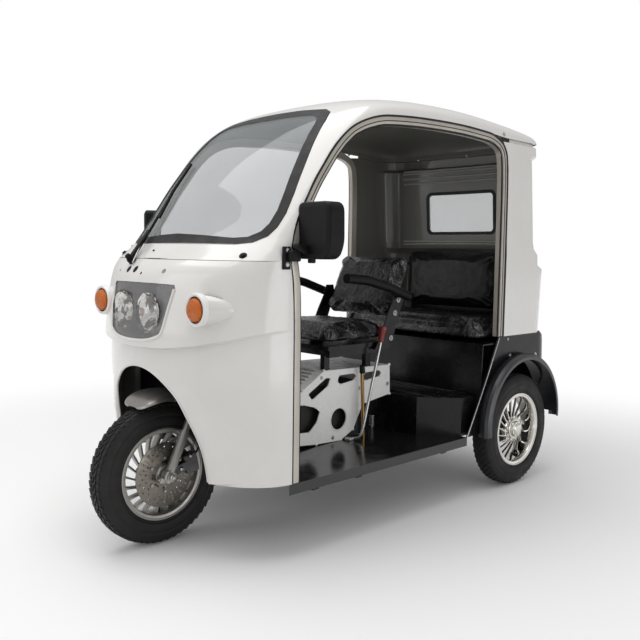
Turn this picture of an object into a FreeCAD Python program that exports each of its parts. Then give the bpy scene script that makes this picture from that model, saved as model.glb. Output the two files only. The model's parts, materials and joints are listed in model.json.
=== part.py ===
import FreeCAD, Part
import math
import os
import re

import Sketcher
from FreeCAD import Placement, Rotation, Vector

# Three-wheeled passenger cab, sizes in millimetres.
# X points to the vehicle's left, the nose faces -Y, Z is up, and the origin is on the ground.
SIZES = {
    "wheel_base": 1574,
    "front_axle_y": -826,
    "rear_wheel_inset": 18,
    "tyre_radius": 250,
    "tyre_width": 95,
    "rim_seat_radius": 152,
    "rim_flange_radius": 166,
    "rim_width": 86,
    "rim_wall": 5,
    "running_gap": 0.4,
    "seating_gap": 0.3,
    "front_axle_radius": 8,
    "front_hub_radius": 34,
    "front_hub_width": 64,
    "front_spoke_count": 20,
    "disc_radius": 115,
    "disc_thickness": 4,
    "disc_offset": 44,
    "rear_hub_radius": 62,
    "rear_cap_radius": 36,
    "rear_spoke_count": 18,
    "axle_tube_radius": 30,
    "axle_shaft_radius": 14,
    "steering_rake": 24.4,
    "fork_offset": 36.4,
    "fork_spread": 150,
    "fork_leg_radius": 17,
    "fork_length": 345,
    "clamp_height": 26,
    "stem_radius": 14,
    "stem_length": 800,
    "head_tube_radius": 28,
    "head_tube_length": 150,
    "grip_radius": 16,
    "bar_radius": 11,
    "bar_half_width": 300,
    "mudguard_gap": 40,
    "mudguard_width": 180,
    "body_half_width": 466,
    "panel_wall": 4,
    "panel_gap": 2,
    "floor_height": 265,
    "floor_sheet": 5,
    "sill_height": 36,
    "fairing_rear": 225,
    "crease_height": 700,
    "cowl_seam_height": 1005,
    "roof_height": 1650,
    "belt_height": 677,
    "post_y": 1468,
    "rear_wall_y": 1868,
    "rear_corner_radius": 110,
    "rear_back_turn": 7,
    "glass_wall": 5,
    "seal_width": 34,
    "door_band": 34,
    "door_depth": 24,
    "rear_window_half_width": 210,
    "rear_window_low": 1130,
    "rear_window_high": 1348,
    "fender_centre_y": 1590,
    "fender_centre_height": 295,
    "fender_radius": 292,
    "fender_overhang": 54,
    "fender_wall": 3,
    "step_height": 430,
    "step_front_y": 1080,
    "bench_front_y": 1310,
    "bench_height": 650,
    "bench_sheet": 5,
    "cushion_gap": 0.3,
    "bench_cushion_height": 105,
    "bench_cushion_rear": 1745,
    "bench_back_height": 305,
    "seat_half_width": 205,
    "seat_front_y": 640,
    "seat_rear_y": 1000,
    "seat_height": 665,
    "seat_cushion_height": 90,
    "seat_back_height": 300,
    "seat_back_thickness": 78,
    "seat_back_lean": 24,
    "armrest_x": 252,
    "cover_half_width": 150,
    "cover_wall": 4,
    "seat_cover_gap": 102,
    "cover_engine_gap": 68,
    "engine_width": 220,
    "engine_length": 330,
    "engine_front_y": 590,
    "engine_low": 205,
    "rail_spread": 460,
    "rail_width": 30,
    "rail_height": 50,
    "rail_rise": 155,
    "bracket_hole_spread": 120,
    "bracket_hole_radius": 5.5,
    "lamp_gap": 0.8,
    "signal_radius": 40,
    "mirror_width": 170,
    "mirror_height": 196,
    "mirror_depth": 58,
}

# Seat and stay positions along Y are measured back from the front axle.
doc = FreeCAD.newDocument("tricycle")
sheet = doc.addObject("Spreadsheet::Sheet", "sizes")
for row, (alias, amount) in enumerate(SIZES.items(), start=1):
    sheet.set(f"A{row}", alias)
    sheet.set(f"B{row}", str(amount))
    sheet.setAlias(f"B{row}", alias)
doc.recompute()

PARTS = {}

# The tables of stations below are drawn for this half width and this roof height.
DRAWN_HALF_WIDTH = 466
DRAWN_ROOF = 1650


def size(alias):
    """Read one driving dimension from the sheet."""
    return float(sheet.get(alias))


def formula(text):
    """Point every sheet alias in a formula at the sheet."""
    return re.sub(r"[a-z_]+", lambda word: f"sizes.{word[0]}" if word[0] in SIZES else word[0], text)


def station(distance):
    """Y of a point measured back from the front axle."""
    return size("front_axle_y") + distance


def widened(x):
    """Distance from the middle plane, stretched with the body's width."""
    return x * size("body_half_width") / DRAWN_HALF_WIDTH


def raised(height):
    """Height above the cowl seam, stretched with the roof."""
    seam = size("cowl_seam_height")
    if height <= seam:
        return height
    return seam + (height - seam) * (size("roof_height") - seam) / (DRAWN_ROOF - seam)


def keep(node, item):
    """Register an object as the sub-part that is written under this node name."""
    item.Label = node
    PARTS[node] = item
    return item


def bind(item, **fields):
    """Bind properties to formulas; a double underscore stands for a dot."""
    for field, text in fields.items():
        item.setExpression(field.replace("__", "."), formula(text))
    return item


def block(name, x_from, x_to, y_from, y_to, z_from, z_to):
    """Box between bound coordinates; Y is measured back from the front axle."""
    item = doc.addObject("Part::Box", name)
    bind(
        item,
        Length=f"( {x_to} ) - ( {x_from} )",
        Width=f"( {y_to} ) - ( {y_from} )",
        Height=f"( {z_to} ) - ( {z_from} )",
        Placement__Base__x=x_from,
        Placement__Base__y=f"front_axle_y + ( {y_from} )",
        Placement__Base__z=z_from,
    )
    return item


def freeform(name, shape):
    """Object for a shape that has no feature of its own."""
    item = doc.addObject("Part::Feature", name)
    item.Shape = shape
    return item


def plane_of(body, role):
    """Origin plane or axis of a body, by role."""
    return [feature for feature in body.Origin.OriginFeatures if feature.Role == role][0]


def outline_sketch(body, name, plane, corners, offset="0"):
    """Closed sketch through corners whose two coordinates are formulas."""
    sketch = body.newObject("Sketcher::SketchObject", name)
    sketch.AttachmentSupport = (plane_of(body, plane), [""])
    sketch.MapMode = "FlatFace"
    sketch.setExpression("AttachmentOffset.Base.z", formula(offset))
    count = len(corners)
    start = [Vector(math.cos(2 * math.pi * k / count), math.sin(2 * math.pi * k / count), 0) for k in range(count)]
    for k in range(count):
        sketch.addGeometry(Part.LineSegment(start[k], start[(k + 1) % count]), False)
    for k in range(count):
        sketch.addConstraint(Sketcher.Constraint("Coincident", k, 2, (k + 1) % count, 1))
    for k, corner in enumerate(corners):
        for kind, text, place in zip(("DistanceX", "DistanceY"), corner, start[k]):
            index = sketch.addConstraint(Sketcher.Constraint(kind, -1, 1, k, 1, place))
            sketch.setExpression(f"Constraints[{index}]", formula(text))
    return sketch


def new_body(name):
    """Empty design body."""
    return doc.addObject("PartDesign::Body", name)


def pad(body, name, sketch, length, centred=True):
    """Pad of a sketch."""
    item = body.newObject("PartDesign::Pad", name)
    item.Profile = sketch
    item.Midplane = centred
    bind(item, Length=length)
    return item


def lathe(body, name, sketch, axis="X_Axis"):
    """Full revolution of a sketch about an axis of the body."""
    item = body.newObject("PartDesign::Revolution", name)
    item.Profile = sketch
    item.ReferenceAxis = (plane_of(body, axis), [""])
    item.Angle = 360
    return item


def ring_pattern(body, name, feature, axis, count):
    """Polar pattern of one feature about an axis of the body."""
    item = body.newObject("PartDesign::PolarPattern", name)
    item.Originals = [feature]
    item.Axis = (plane_of(body, axis), [""])
    item.Angle = 360
    bind(item, Occurrences=count)
    body.Tip = item
    return item


def round_route(points, bend):
    """Wire through points with its corners rounded to a bend radius."""
    edges = []
    last = points[0]
    for before, corner, after in zip(points, points[1:], points[2:]):
        inward = (before - corner).normalize()
        outward = (after - corner).normalize()
        half = inward.getAngle(outward) / 2
        reach = min(bend / math.tan(half), 0.45 * (before - corner).Length, 0.45 * (after - corner).Length)
        entry = corner + inward * reach
        leave = corner + outward * reach
        middle = (inward + outward).normalize()
        radius = reach * math.tan(half)
        peak = corner + middle * (radius / math.sin(half) - radius)
        edges.append(Part.LineSegment(last, entry).toShape())
        edges.append(Part.Arc(entry, peak, leave).toShape())
        last = leave
    edges.append(Part.LineSegment(last, points[-1]).toShape())
    return Part.Wire(edges)


def tube(points, radius, bend):
    """Round bar along a route with rounded corners."""
    path = round_route(points, bend)
    section = Part.Wire(Part.makeCircle(radius, points[0], points[1] - points[0]))
    return path.makePipeShell([section], True, False)


def mirrored(shape):
    """Copy of a shape on the vehicle's other side."""
    return shape.mirror(Vector(0, 0, 0), Vector(1, 0, 0))


def prism_y(outline, y_from, y_to):
    """Solid from an XZ outline of (x, z) pairs, between two Y values."""
    corners = [Vector(x, y_from, z) for x, z in outline]
    face = Part.Face(Part.makePolygon(corners + corners[:1]))
    return face.extrude(Vector(0, y_to - y_from, 0))


def prism_x(outline, x_from, x_to):
    """Solid from a YZ outline of (y, z) pairs, between two X values."""
    corners = [Vector(x_from, y, z) for y, z in outline]
    face = Part.Face(Part.makePolygon(corners + corners[:1]))
    return face.extrude(Vector(x_to - x_from, 0, 0))


def eased_box(x_from, x_to, y_from, y_to, z_from, z_to, ease):
    """Box with every edge chamfered."""
    low = Vector(x_from, y_from, z_from)
    box = Part.makeBox(x_to - x_from, y_to - y_from, z_to - z_from, low)
    return box.makeChamfer(ease, box.Edges)


# Freeform skins are B-spline faces whose poles form a grid of rows and columns.


def skin(rows):
    """B-spline face over a grid of poles, clamped at its four edges."""
    degrees = [min(3, len(rows) - 1), min(3, len(rows[0]) - 1)]
    counts = [len(rows), len(rows[0])]
    knots = []
    folds = []
    for degree, count in zip(degrees, counts):
        spans = count - degree
        knots.append([float(k) for k in range(spans + 1)])
        folds.append([degree + 1] + [1] * (spans - 1) + [degree + 1])
    surface = Part.BSplineSurface()
    surface.buildFromPolesMultsKnots(
        rows, folds[0], folds[1], knots[0], knots[1], False, False, degrees[0], degrees[1]
    )
    return surface.toShape()


def offset_rows(rows, distance, inside):
    """Grid moved by a distance along its normals, towards the inside point when positive."""
    moved = []
    last_row = len(rows) - 1
    last_column = len(rows[0]) - 1
    for i, row in enumerate(rows):
        line = []
        for j, point in enumerate(row):
            along = rows[min(i + 1, last_row)][j] - rows[max(i - 1, 0)][j]
            across = row[min(j + 1, last_column)] - row[max(j - 1, 0)]
            normal = along.cross(across).normalize()
            if normal.dot(inside - point) < 0:
                normal = normal * -1
            line.append(point + normal * distance)
        moved.append(line)
    return moved


def panel(rows, thickness, inside, creases=(), start=0.0):
    """Solid sheet between a grid of poles and its offset, creased along the named rows."""
    outer = offset_rows(rows, start, inside) if start else rows
    inner = offset_rows(rows, start + thickness, inside)
    stops = [0] + list(creases) + [len(rows) - 1]
    faces = []
    for first, final in zip(stops, stops[1:]):
        for grid in (outer, inner):
            faces.append(skin(grid[first:final + 1]))
        for side in (0, -1):
            edge_outer = [row[side] for row in outer[first:final + 1]]
            edge_inner = [row[side] for row in inner[first:final + 1]]
            faces.append(skin([edge_outer, edge_inner]))
    for end in (0, -1):
        faces.append(skin([outer[end], inner[end]]))
    shell = Part.makeShell(faces)
    shell.sewShape()
    solid = Part.Solid(Part.Shell(shell.Faces))
    if solid.Volume < 0:
        solid.reverse()
    return solid


def bow(share, power):
    """Fall of a superellipse arc, 0 in the middle and 1 at its end."""
    return 1 - (1 - min(abs(share), 1.0) ** power) ** (1 / power)


SHARES = [1.0, 0.994, 0.97, 0.92, 0.84, 0.72, 0.53, 0.28]
COLUMNS = SHARES + [0.0] + [-share for share in reversed(SHARES)]


def level(table, height):
    """Linear reading of a (height, value) table, level beyond its ends."""
    height = max(height, table[0][0])
    for (low, first), (high, second) in zip(table, table[1:]):
        if height <= high:
            return first + (second - first) * (height - low) / (high - low)
    return table[-1][1]


# Front fairing: a bowed shield whose nose stands proud of its lower half along a rising crease.

SHIELD_LINE = [(266, -30), (380, -36), (450, -58), (550, -76), (640, -84), (775, -76)]
NOSE_LINE = [(700, -104), (740, -107), (760, -104), (850, -90), (922, -74), (962, -58), (985, -36), (1005, -10)]
EDGE_LINE = [(266, 0), (940, 0), (1005, -17)]
CREASE_RISE = 75
CREASE_STEP = 8


def fairing_point(share, height, centre_line, power):
    """Point of the fairing at a share of its half width and a height."""
    edge = size("fairing_rear") + level(EDGE_LINE, height)
    centre = level(centre_line, height)
    y = centre + (edge - centre) * bow(share, power)
    return Vector(share * size("body_half_width"), station(y), height)


def crease_level(share):
    """Height of the chin crease, which rises towards the sides."""
    return size("crease_height") + CREASE_RISE * abs(share) ** 2.5


LOWER_PARTS = (0.0, 0.12, 0.3, 0.45, 0.6, 0.72, 0.85, 0.95, 1.0)
UPPER_PARTS = (0.0, 0.08, 0.2, 0.35, 0.5, 0.65, 0.78, 0.88, 0.95, 1.0)


def fairing_rows():
    """Poles of the fairing from its hem to the cowl seam."""
    low = size("floor_height") + size("seating_gap")
    rows = []
    for part in LOWER_PARTS:
        row = []
        for share in COLUMNS:
            height = low + part * (crease_level(share) - low)
            row.append(fairing_point(share, height, SHIELD_LINE, 2.05))
        rows.append(row)
    high = size("cowl_seam_height") - size("panel_gap")
    for part in UPPER_PARTS:
        row = []
        for share in COLUMNS:
            height = crease_level(share) + CREASE_STEP
            height += part * (high - height)
            row.append(fairing_point(share, height, NOSE_LINE, 2.15))
        rows.append(row)
    return rows


FAIRING_CREASES = (len(LOWER_PARTS) - 1, len(LOWER_PARTS))
CABIN_CENTRE = Vector(0, station(700), 900)
FAIRING_ROWS = fairing_rows()

ARCH = [(0, 640), (60, 633), (112, 613), (196, 552), (240, 450), (265, 380), (276, 300), (280, 240)]
LAMP = [(0, 735), (96, 741), (150, 760), (164, 785), (192, 910), (186, 922), (96, 924), (0, 924)]


def both_sides(half):
    """Closed symmetric outline from its left half, stretched with the body's width."""
    left = [(widened(x), z) for x, z in half]
    return left + [(-x, z) for x, z in reversed(left) if x > 0]


def grown(outline, margin):
    """Outline moved outwards from its middle by about a margin."""
    centre_x = sum(x for x, z in outline) / len(outline)
    centre_z = sum(z for x, z in outline) / len(outline)
    moved = []
    for x, z in outline:
        reach = math.hypot(x - centre_x, z - centre_z)
        moved.append((x + margin * (x - centre_x) / reach, z + margin * (z - centre_z) / reach))
    return moved


SIGNAL_PLACE = Vector(widened(300), station(-40), 847)


def signal_pod():
    """Bullet that carries a turn signal on the fairing's left shoulder."""
    stations = [(0, 0, 50), (14, 24, 49), (44, 62, 38), (72, 98, 16)]
    rings = []
    for aside, back, radius in stations:
        centre = SIGNAL_PLACE + Vector(aside, back, 0)
        rings.append(Part.Wire(Part.makeCircle(radius, centre, Vector(0, 1, 0))))
    return Part.makeLoft(rings, True, False)


def front_fairing():
    """Fairing with its wheel arch, lamp opening and signal pods."""
    shape = panel(FAIRING_ROWS, size("panel_wall"), CABIN_CENTRE, FAIRING_CREASES)
    shape = shape.cut(prism_y(both_sides(ARCH), station(-400), station(150)))
    lamp = prism_y(grown(both_sides(LAMP), size("lamp_gap")), station(-300), station(120))
    shape = shape.cut(lamp)
    pod = signal_pod()
    gap = size("seating_gap")
    ahead = SIGNAL_PLACE - Vector(0, 30, 0)
    seat = Part.makeCylinder(size("signal_radius") + gap, 40 + gap, ahead, Vector(0, 1, 0))
    return shape.fuse([pod, mirrored(pod)]).cut([seat, mirrored(seat)])


keep("front_fairing", freeform("FairingSkin", front_fairing()))


def lamp_layer(start, thickness, margin):
    """Layer of the nose behind its surface, within the lamp outline."""
    layer = panel(FAIRING_ROWS[len(LOWER_PARTS):], thickness, CABIN_CENTRE, (), start)
    outline = grown(both_sides(LAMP), -margin)
    return layer.common(prism_y(outline, station(-300), station(160)))


REFLECTORS = [(79, 827), (-79, 827)]


def headlamp_housing():
    """Lamp bowl with two reflector wells."""
    shape = lamp_layer(4 + size("seating_gap"), 62, -12)
    for x, z in REFLECTORS:
        front = Vector(x, station(-110), z)
        well = Part.makeCone(76, 46, 78, front, Vector(0, 1, 0))
        shape = shape.cut(well)
    return shape


keep("headlamp_lens", freeform("LensSkin", lamp_layer(1, 3, -0.5)))
keep("headlamp_housing", freeform("LampBowl", headlamp_housing()))


def signal_lens():
    """Domed lens of the left turn signal."""
    radius = size("signal_radius")
    base = Part.makeCylinder(radius, 10, SIGNAL_PLACE, Vector(0, 1, 0))
    ball = Part.makeSphere(2.2 * radius, SIGNAL_PLACE + Vector(0, 0.87 * 2.2 * radius, 0))
    cap = Part.makeCylinder(radius, 40, SIGNAL_PLACE + Vector(0, -40, 0), Vector(0, 1, 0)).common(ball)
    return base.fuse(cap)


LENS = signal_lens()
keep("front_turn_signals", freeform("SignalLenses", Part.makeCompound([LENS, mirrored(LENS)])))

# Upper shell: cowl, windscreen surround and roof in one moulding.
# Each station gives centre y and z, edge x, y and z, roundness of the section, roundness of the plan
# and how far it follows them rather than a plain parabola.

SHELL_STATIONS = [
    (-10, 1005, 466, 208, 1005, 2.15, 2.15, 1.0),
    (22, 1030, 463, 212, 1030, 2.15, 2.15, 0.85),
    (62, 1060, 459, 220, 1060, 2.15, 2.15, 0.6),
    (100, 1105, 454, 234, 1105, 2.2, 2.2, 0.35),
    (136, 1160, 448, 262, 1160, 2.3, 2.3, 0.2),
    (172, 1218, 443, 300, 1218, 2.4, 2.4, 0.15),
    (215, 1278, 440, 338, 1278, 2.4, 2.4, 0.15),
    (262, 1336, 438, 378, 1330, 2.4, 2.4, 0.15),
    (314, 1392, 438, 420, 1386, 2.4, 2.4, 0.2),
    (375, 1448, 439, 462, 1432, 2.4, 2.4, 0.35),
    (438, 1502, 441, 512, 1474, 2.5, 2.5, 0.55),
    (510, 1552, 444, 575, 1505, 2.6, 2.6, 0.8),
    (600, 1596, 449, 655, 1529, 2.7, 2.7, 1.0),
    (710, 1622, 453, 745, 1538, 2.7, 2.7, 1.0),
    (850, 1640, 457, 860, 1545, 2.7, 2.7, 1.0),
    (1000, 1648, 459, 1000, 1549, 2.7, 2.7, 1.0),
    (1140, 1650, 460, 1140, 1550, 2.7, 2.7, 1.0),
    (1280, 1648, 460, 1270, 1545, 2.7, 2.7, 1.0),
    (1420, 1642, 460, 1400, 1533, 2.7, 2.7, 1.0),
    (1560, 1630, 460, 1500, 1530, 2.7, 2.8, 1.0),
    (1680, 1610, 460, 1590, 1530, 2.8, 2.9, 1.0),
    (1752, 1590, 460, 1632, 1530, 3.0, 3.0, 1.0),
    (1786, 1562, 460, 1650, 1530, 3.2, 3.0, 1.0),
    (1793, 1532, 460, 1656, 1530, 3.2, 3.0, 1.0),
]


def shell_rows():
    """Poles of the upper shell from the cowl seam to the rear edge of the roof."""
    rows = []
    for centre_y, centre_z, edge_x, edge_y, edge_z, section, plan, boxy in SHELL_STATIONS:
        row = []
        for share in COLUMNS:
            plain = (1 - boxy) * share * share
            y = centre_y + (edge_y - centre_y) * (boxy * bow(share, plan) + plain)
            z = centre_z + (edge_z - centre_z) * (boxy * bow(share, section) + plain)
            row.append(Vector(share * widened(edge_x), station(y), raised(z)))
        rows.append(row)
    return rows


SHELL_ROWS = shell_rows()
SCREEN = [
    (0, 1060), (150, 1060), (306, 1058), (362, 1064), (396, 1085), (409, 1115), (412, 1160),
    (403, 1230), (390, 1300), (375, 1370), (358, 1440), (340, 1500), (318, 1536), (278, 1553), (150, 1563), (0, 1566),
]


def screen_outline():
    """Windscreen opening, stretched with the roof."""
    return both_sides([(x, raised(z)) for x, z in SCREEN])


def upper_shell():
    """Upper shell with its windscreen opening."""
    shape = panel(SHELL_ROWS, size("panel_wall"), CABIN_CENTRE)
    opening = prism_y(screen_outline(), station(-200), station(560))
    return shape.cut(opening)


def screen_ring(outer_margin, inner_margin, start, thickness):
    """Strip of the screen surface along the edge of the windscreen opening."""
    layer = panel(SHELL_ROWS[1:14], thickness, CABIN_CENTRE, (), start)
    outer = prism_y(grown(screen_outline(), outer_margin), station(-200), station(560))
    ring = layer.common(outer)
    if inner_margin is not None:
        ring = ring.cut(prism_y(grown(screen_outline(), inner_margin), station(-200), station(560)))
    return ring


keep("upper_shell", freeform("ShellSkin", upper_shell()))
keep("windscreen_seal", freeform("ScreenSeal", screen_ring(-0.3, -size("seal_width"), -2, 8)))
keep("windscreen_glass", freeform("ScreenPane", screen_ring(-size("seal_width") - 0.3, None, 0, size("glass_wall"))))

# Rear shell: straight sides from the door posts, round corners and a stepped, slightly bowed back wall.

POST_LINE = [(1440, 0), (1454, -5), (1474, -13), (1490, -22), (1510, -37), (1528, -70)]
# Height, distance that the wall stands behind its widest reach, and side lean.
BACK_PROFILE = [
    (677, -16, 0), (968, 0, 0), (988, -40, 0), (1033, -43, 0), (1062, -76, -1), (1094, -84, -2),
    (1404, -107, -6), (1458, -111, -7), (1476, -76, -7), (1514, -80, -7),
]
WINDOW_ROWS = (5, 8)
FLANGE_LOW = 1518
FLANGE_HIGH = 1540
FLANGE_INSET = 10
FLANGE_FRONT = 1483


def wrap_line(front, bend_y, half, corner, height):
    """Points of a line around the back of the cab: side, corner, bowed back, corner, side."""
    turn = math.radians(size("rear_back_turn"))
    end_x = half - corner + corner * math.sin(turn)
    end_y = bend_y + corner * math.cos(turn)
    middle = math.pi / 4 - turn / 2
    left = [
        (half, front), (half, bend_y),
        (half - corner + corner * math.cos(middle), bend_y + corner * math.sin(middle)), (end_x, end_y),
    ]
    centre = Vector(0, station(end_y + end_x * math.tan(turn / 2)), height)
    right = [Vector(-x, station(y), height) for x, y in reversed(left)]
    return [Vector(x, station(y), height) for x, y in left] + [centre] + right


def wrap_edges(spots):
    """Edges through the points of a wrap line."""
    edges = [Part.LineSegment(spots[0], spots[1]).toShape()]
    for k in (1, 3, 5):
        edges.append(Part.Arc(spots[k], spots[k + 1], spots[k + 2]).toShape())
    edges.append(Part.LineSegment(spots[7], spots[8]).toShape())
    return edges


def wrapped(levels, thickness, start=0.0):
    """Ruled wall around the back of the cab through (height, front, reach, half width) levels."""
    turn = math.radians(size("rear_back_turn"))
    wires = []
    for height, front, reach, half in levels:
        corner = size("rear_corner_radius")
        end_x = half - corner + corner * math.sin(turn)
        bend_y = reach - end_x * math.tan(turn / 2) - corner * math.cos(turn)
        outer = wrap_line(front, bend_y, half - start, corner - start, height)
        depth = start + thickness
        inner = wrap_line(front, bend_y, half - depth, corner - depth, height)
        edges = wrap_edges(outer)
        edges.append(Part.LineSegment(outer[-1], inner[-1]).toShape())
        edges.extend(reversed(wrap_edges(inner)))
        edges.append(Part.LineSegment(inner[0], outer[0]).toShape())
        wires.append(Part.Wire(edges))
    return Part.makeLoft(wires, True, True)


def back_levels():
    """Levels of the rear shell from the belt to the flange inside the roof's edge."""
    levels = []
    for height, step, lean in BACK_PROFILE:
        front = size("post_y") + level(POST_LINE, height)
        levels.append((raised(height), front, size("rear_wall_y") + step, size("body_half_width") + lean))
    last_step, last_lean = BACK_PROFILE[-1][1:]
    for height in (FLANGE_LOW, FLANGE_HIGH):
        reach = size("rear_wall_y") + last_step - FLANGE_INSET
        half = size("body_half_width") + last_lean - FLANGE_INSET
        levels.append((raised(height), FLANGE_FRONT, reach, half))
    return levels


BACK_LEVELS = back_levels()


def rear_window(margin):
    """Rounded outline of the rear window."""
    half = size("rear_window_half_width") + margin
    low = raised(size("rear_window_low")) - margin
    high = raised(size("rear_window_high")) + margin
    corner = 34 + margin
    box = Part.makeBox(2 * half, 500, high - low, Vector(-half, station(1600), low))
    uprights = [edge for edge in box.Edges if abs(edge.tangentAt(edge.FirstParameter).y) > 0.9]
    return box.makeFillet(corner, uprights)


def back_layer(start, thickness, outer_margin, inner_margin=None):
    """Layer of the back wall around the rear window."""
    layer = wrapped(BACK_LEVELS[slice(*WINDOW_ROWS)], thickness, start)
    ring = layer.common(rear_window(outer_margin))
    if inner_margin is not None:
        ring = ring.cut(rear_window(inner_margin))
    return ring


REAR_SHELL = wrapped(BACK_LEVELS, size("panel_wall")).cut(rear_window(0))
keep("rear_shell", freeform("RearSkin", REAR_SHELL))
keep("rear_window_seal", freeform("RearSeal", back_layer(-3, 10, -0.3, -16)))
keep("rear_window_glass", freeform("RearPane", back_layer(0, size("glass_wall"), -16.3)))

# Black lower body around the bench and the rear wheels, with a slanted front edge.

LOWER_PROFILE = [(300, -10), (380, 14), (470, 28), (546, 32), (640, 28), (661, 24), (676.7, 6)]
LOWER_HEM_STEP = -150
SLANT_LOW_Y = 1211
SLANT_HIGH_Y = 1427


def lower_level(height, step):
    """Level of the lower body, whose front edge slants back as it rises."""
    low = size("floor_height")
    slant = (height - low) / (size("belt_height") - low)
    front = SLANT_LOW_Y + slant * (SLANT_HIGH_Y - SLANT_LOW_Y)
    return height, front, size("rear_wall_y") + step, size("body_half_width")


def lower_body():
    """Lower body with round arches for the rear wheels."""
    levels = [lower_level(size("floor_height") + size("seating_gap"), LOWER_HEM_STEP)]
    levels.extend(lower_level(height, step) for height, step in LOWER_PROFILE)
    shape = wrapped(levels, size("panel_wall"))
    centre = Vector(-600, station(size("fender_centre_y")), size("fender_centre_height"))
    arch = Part.makeCylinder(size("fender_radius") - 16, 1200, centre, Vector(1, 0, 0))
    below = Part.makeBox(1200, 700, 200, Vector(-600, station(size("fender_centre_y")), 200))
    return shape.cut([arch, below])


keep("lower_body", freeform("LowerSkin", lower_body()))


def fender():
    """Flared strip over the left rear wheel."""
    side = size("body_half_width")
    inner_x = side + size("seating_gap")
    reach = side + size("fender_overhang")
    radius = size("fender_radius")
    wall = size("fender_wall")
    outer = [(inner_x, radius), (side + 14, radius + 7), (reach - 20, radius + 8), (reach - 6, radius + 3)]
    lip = [(reach, radius - 7), (reach, radius - 20), (reach - wall, radius - 20), (reach - wall, radius - 7)]
    under = [(reach - 22, radius + 8 - wall), (side + 14, radius + 7 - wall), (inner_x, radius - wall)]
    centre_y = station(size("fender_centre_y"))
    centre_z = size("fender_centre_height")
    corners = [Vector(x, centre_y, centre_z + distance) for x, distance in outer + lip + under]
    face = Part.Face(Part.makePolygon(corners + corners[:1]))
    face.rotate(Vector(0, centre_y, centre_z), Vector(1, 0, 0), 98)
    return face.revolve(Vector(0, centre_y, centre_z), Vector(1, 0, 0), -192)


FENDER = fender()
keep("rear_fenders", freeform("FenderStrips", Part.makeCompound([FENDER, mirrored(FENDER)])))

# Door frames: rubber-edged channels round the two door openings.

DOOR_FRONT = [(226, 265.3, 466), (226, 520, 466), (226, 760, 466), (222, 930, 466)]
DOOR_REAR = [
    (1352, 1540, 460), (1429, 1509, 461), (1460, 1454, 462), (1467, 1325, 463), (1467, 1095, 464), (1467, 880, 465),
    (1467, 677.2, 465),
]
DOOR_LINE = DOOR_FRONT + [(s[3], s[4], s[2]) for s in SHELL_STATIONS[:18]] + DOOR_REAR
DOOR_INSET = 4


def door_frame():
    """Channel along the left door opening."""
    band = size("door_band")
    depth = size("door_depth")
    outer = []
    inner = []
    count = len(DOOR_LINE)
    for k, (y, z, x) in enumerate(DOOR_LINE):
        ahead = DOOR_LINE[min(k + 1, count - 1)]
        behind = DOOR_LINE[max(k - 1, 0)]
        along_y = ahead[0] - behind[0]
        along_z = ahead[1] - behind[1]
        length = math.hypot(along_y, along_z)
        for line, inset in ((outer, DOOR_INSET), (inner, DOOR_INSET + band)):
            line.append((widened(x) - 8, y + inset * along_z / length, raised(z - inset * along_y / length)))
    front = [[Vector(x, station(y), z) for x, y, z in line] for line in (outer, inner)]
    back = [[point - Vector(depth, 0, 0) for point in line] for line in front]
    faces = [skin(front), skin(back), skin([front[0], back[0]]), skin([front[1], back[1]])]
    for end in (0, -1):
        faces.append(skin([[front[0][end], front[1][end]], [back[0][end], back[1][end]]]))
    shell = Part.makeShell(faces)
    shell.sewShape()
    solid = Part.Solid(Part.Shell(shell.Faces))
    if solid.Volume < 0:
        solid.reverse()
    return solid


DOOR_FRAME = door_frame()
keep("door_frames", freeform("DoorChannels", Part.makeCompound([DOOR_FRAME, mirrored(DOOR_FRAME)])))

# Floor, leg shield, step and bench.


def floor_deck():
    """Pressed floor with turned-down sills."""
    half = size("body_half_width") - 1
    top = size("floor_height")
    sheet_wall = size("floor_sheet")
    drop = size("sill_height")
    front = size("fairing_rear") - 10
    rear = SLANT_LOW_Y + 5
    plan = [(half, front), (330, 292), (-330, 292), (-half, front), (-half, rear), (half, rear)]
    corners = [Vector(x, station(y), top - drop) for x, y in plan]
    face = Part.Face(Part.makePolygon(corners + corners[:1]))
    solid = face.extrude(Vector(0, 0, drop))
    inner_half = half - sheet_wall
    hollow = Part.makeBox(2 * inner_half, 1300, drop - sheet_wall, Vector(-inner_half, station(100), top - drop))
    notch = Part.makeBox(84, 70, drop + 2, Vector(-42, station(285), top - drop - 1))
    margin = 14
    well = Part.makeBox(
        size("engine_width") + 2 * margin, size("engine_length") + 2 * margin, drop + 2,
        Vector(-size("engine_width") / 2 - margin, station(size("engine_front_y") - margin), top - drop - 1))
    return solid.cut([hollow, notch, well])


keep("floor_deck", freeform("FloorSheet", floor_deck()))

SHIELD_PLAN = [(440, 205), (330, 290), (62, 290), (48, 356), (-48, 356), (-62, 290), (-330, 290), (-440, 205)]
SHELF_FRONT = [(-400, 112), (-250, 18), (250, 18), (400, 112)]
SHELF_HEIGHT = 760
SHIELD_WALL = 4


def leg_shield():
    """Wall behind the front wheel with a tunnel for the down tube and a shelf above."""
    def region(back, front, low, high):
        plan = back + front
        corners = [Vector(x, station(y), low) for x, y in plan]
        return Part.Face(Part.makePolygon(corners + corners[:1])).extrude(Vector(0, 0, high - low))

    low = size("floor_height") + 0.3
    whole = region(SHIELD_PLAN, SHELF_FRONT, low, SHELF_HEIGHT)
    inner_plan = [(436, 203), (328, 286), (58, 286), (44, 352), (-44, 352), (-58, 286), (-328, 286), (-436, 203)]
    under = region(inner_plan, [(-436, -200), (436, -200)], low - 5, SHELF_HEIGHT - SHIELD_WALL)
    shape = whole.cut(under)
    foot = steering_point(576)
    hole = Part.makeCylinder(34, 60, Vector(0, foot.y, SHELF_HEIGHT - 30), Vector(0, 0, 1))
    return shape.cut(hole)


# Steering: a raked fork whose axis runs a little behind the axle.

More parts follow.
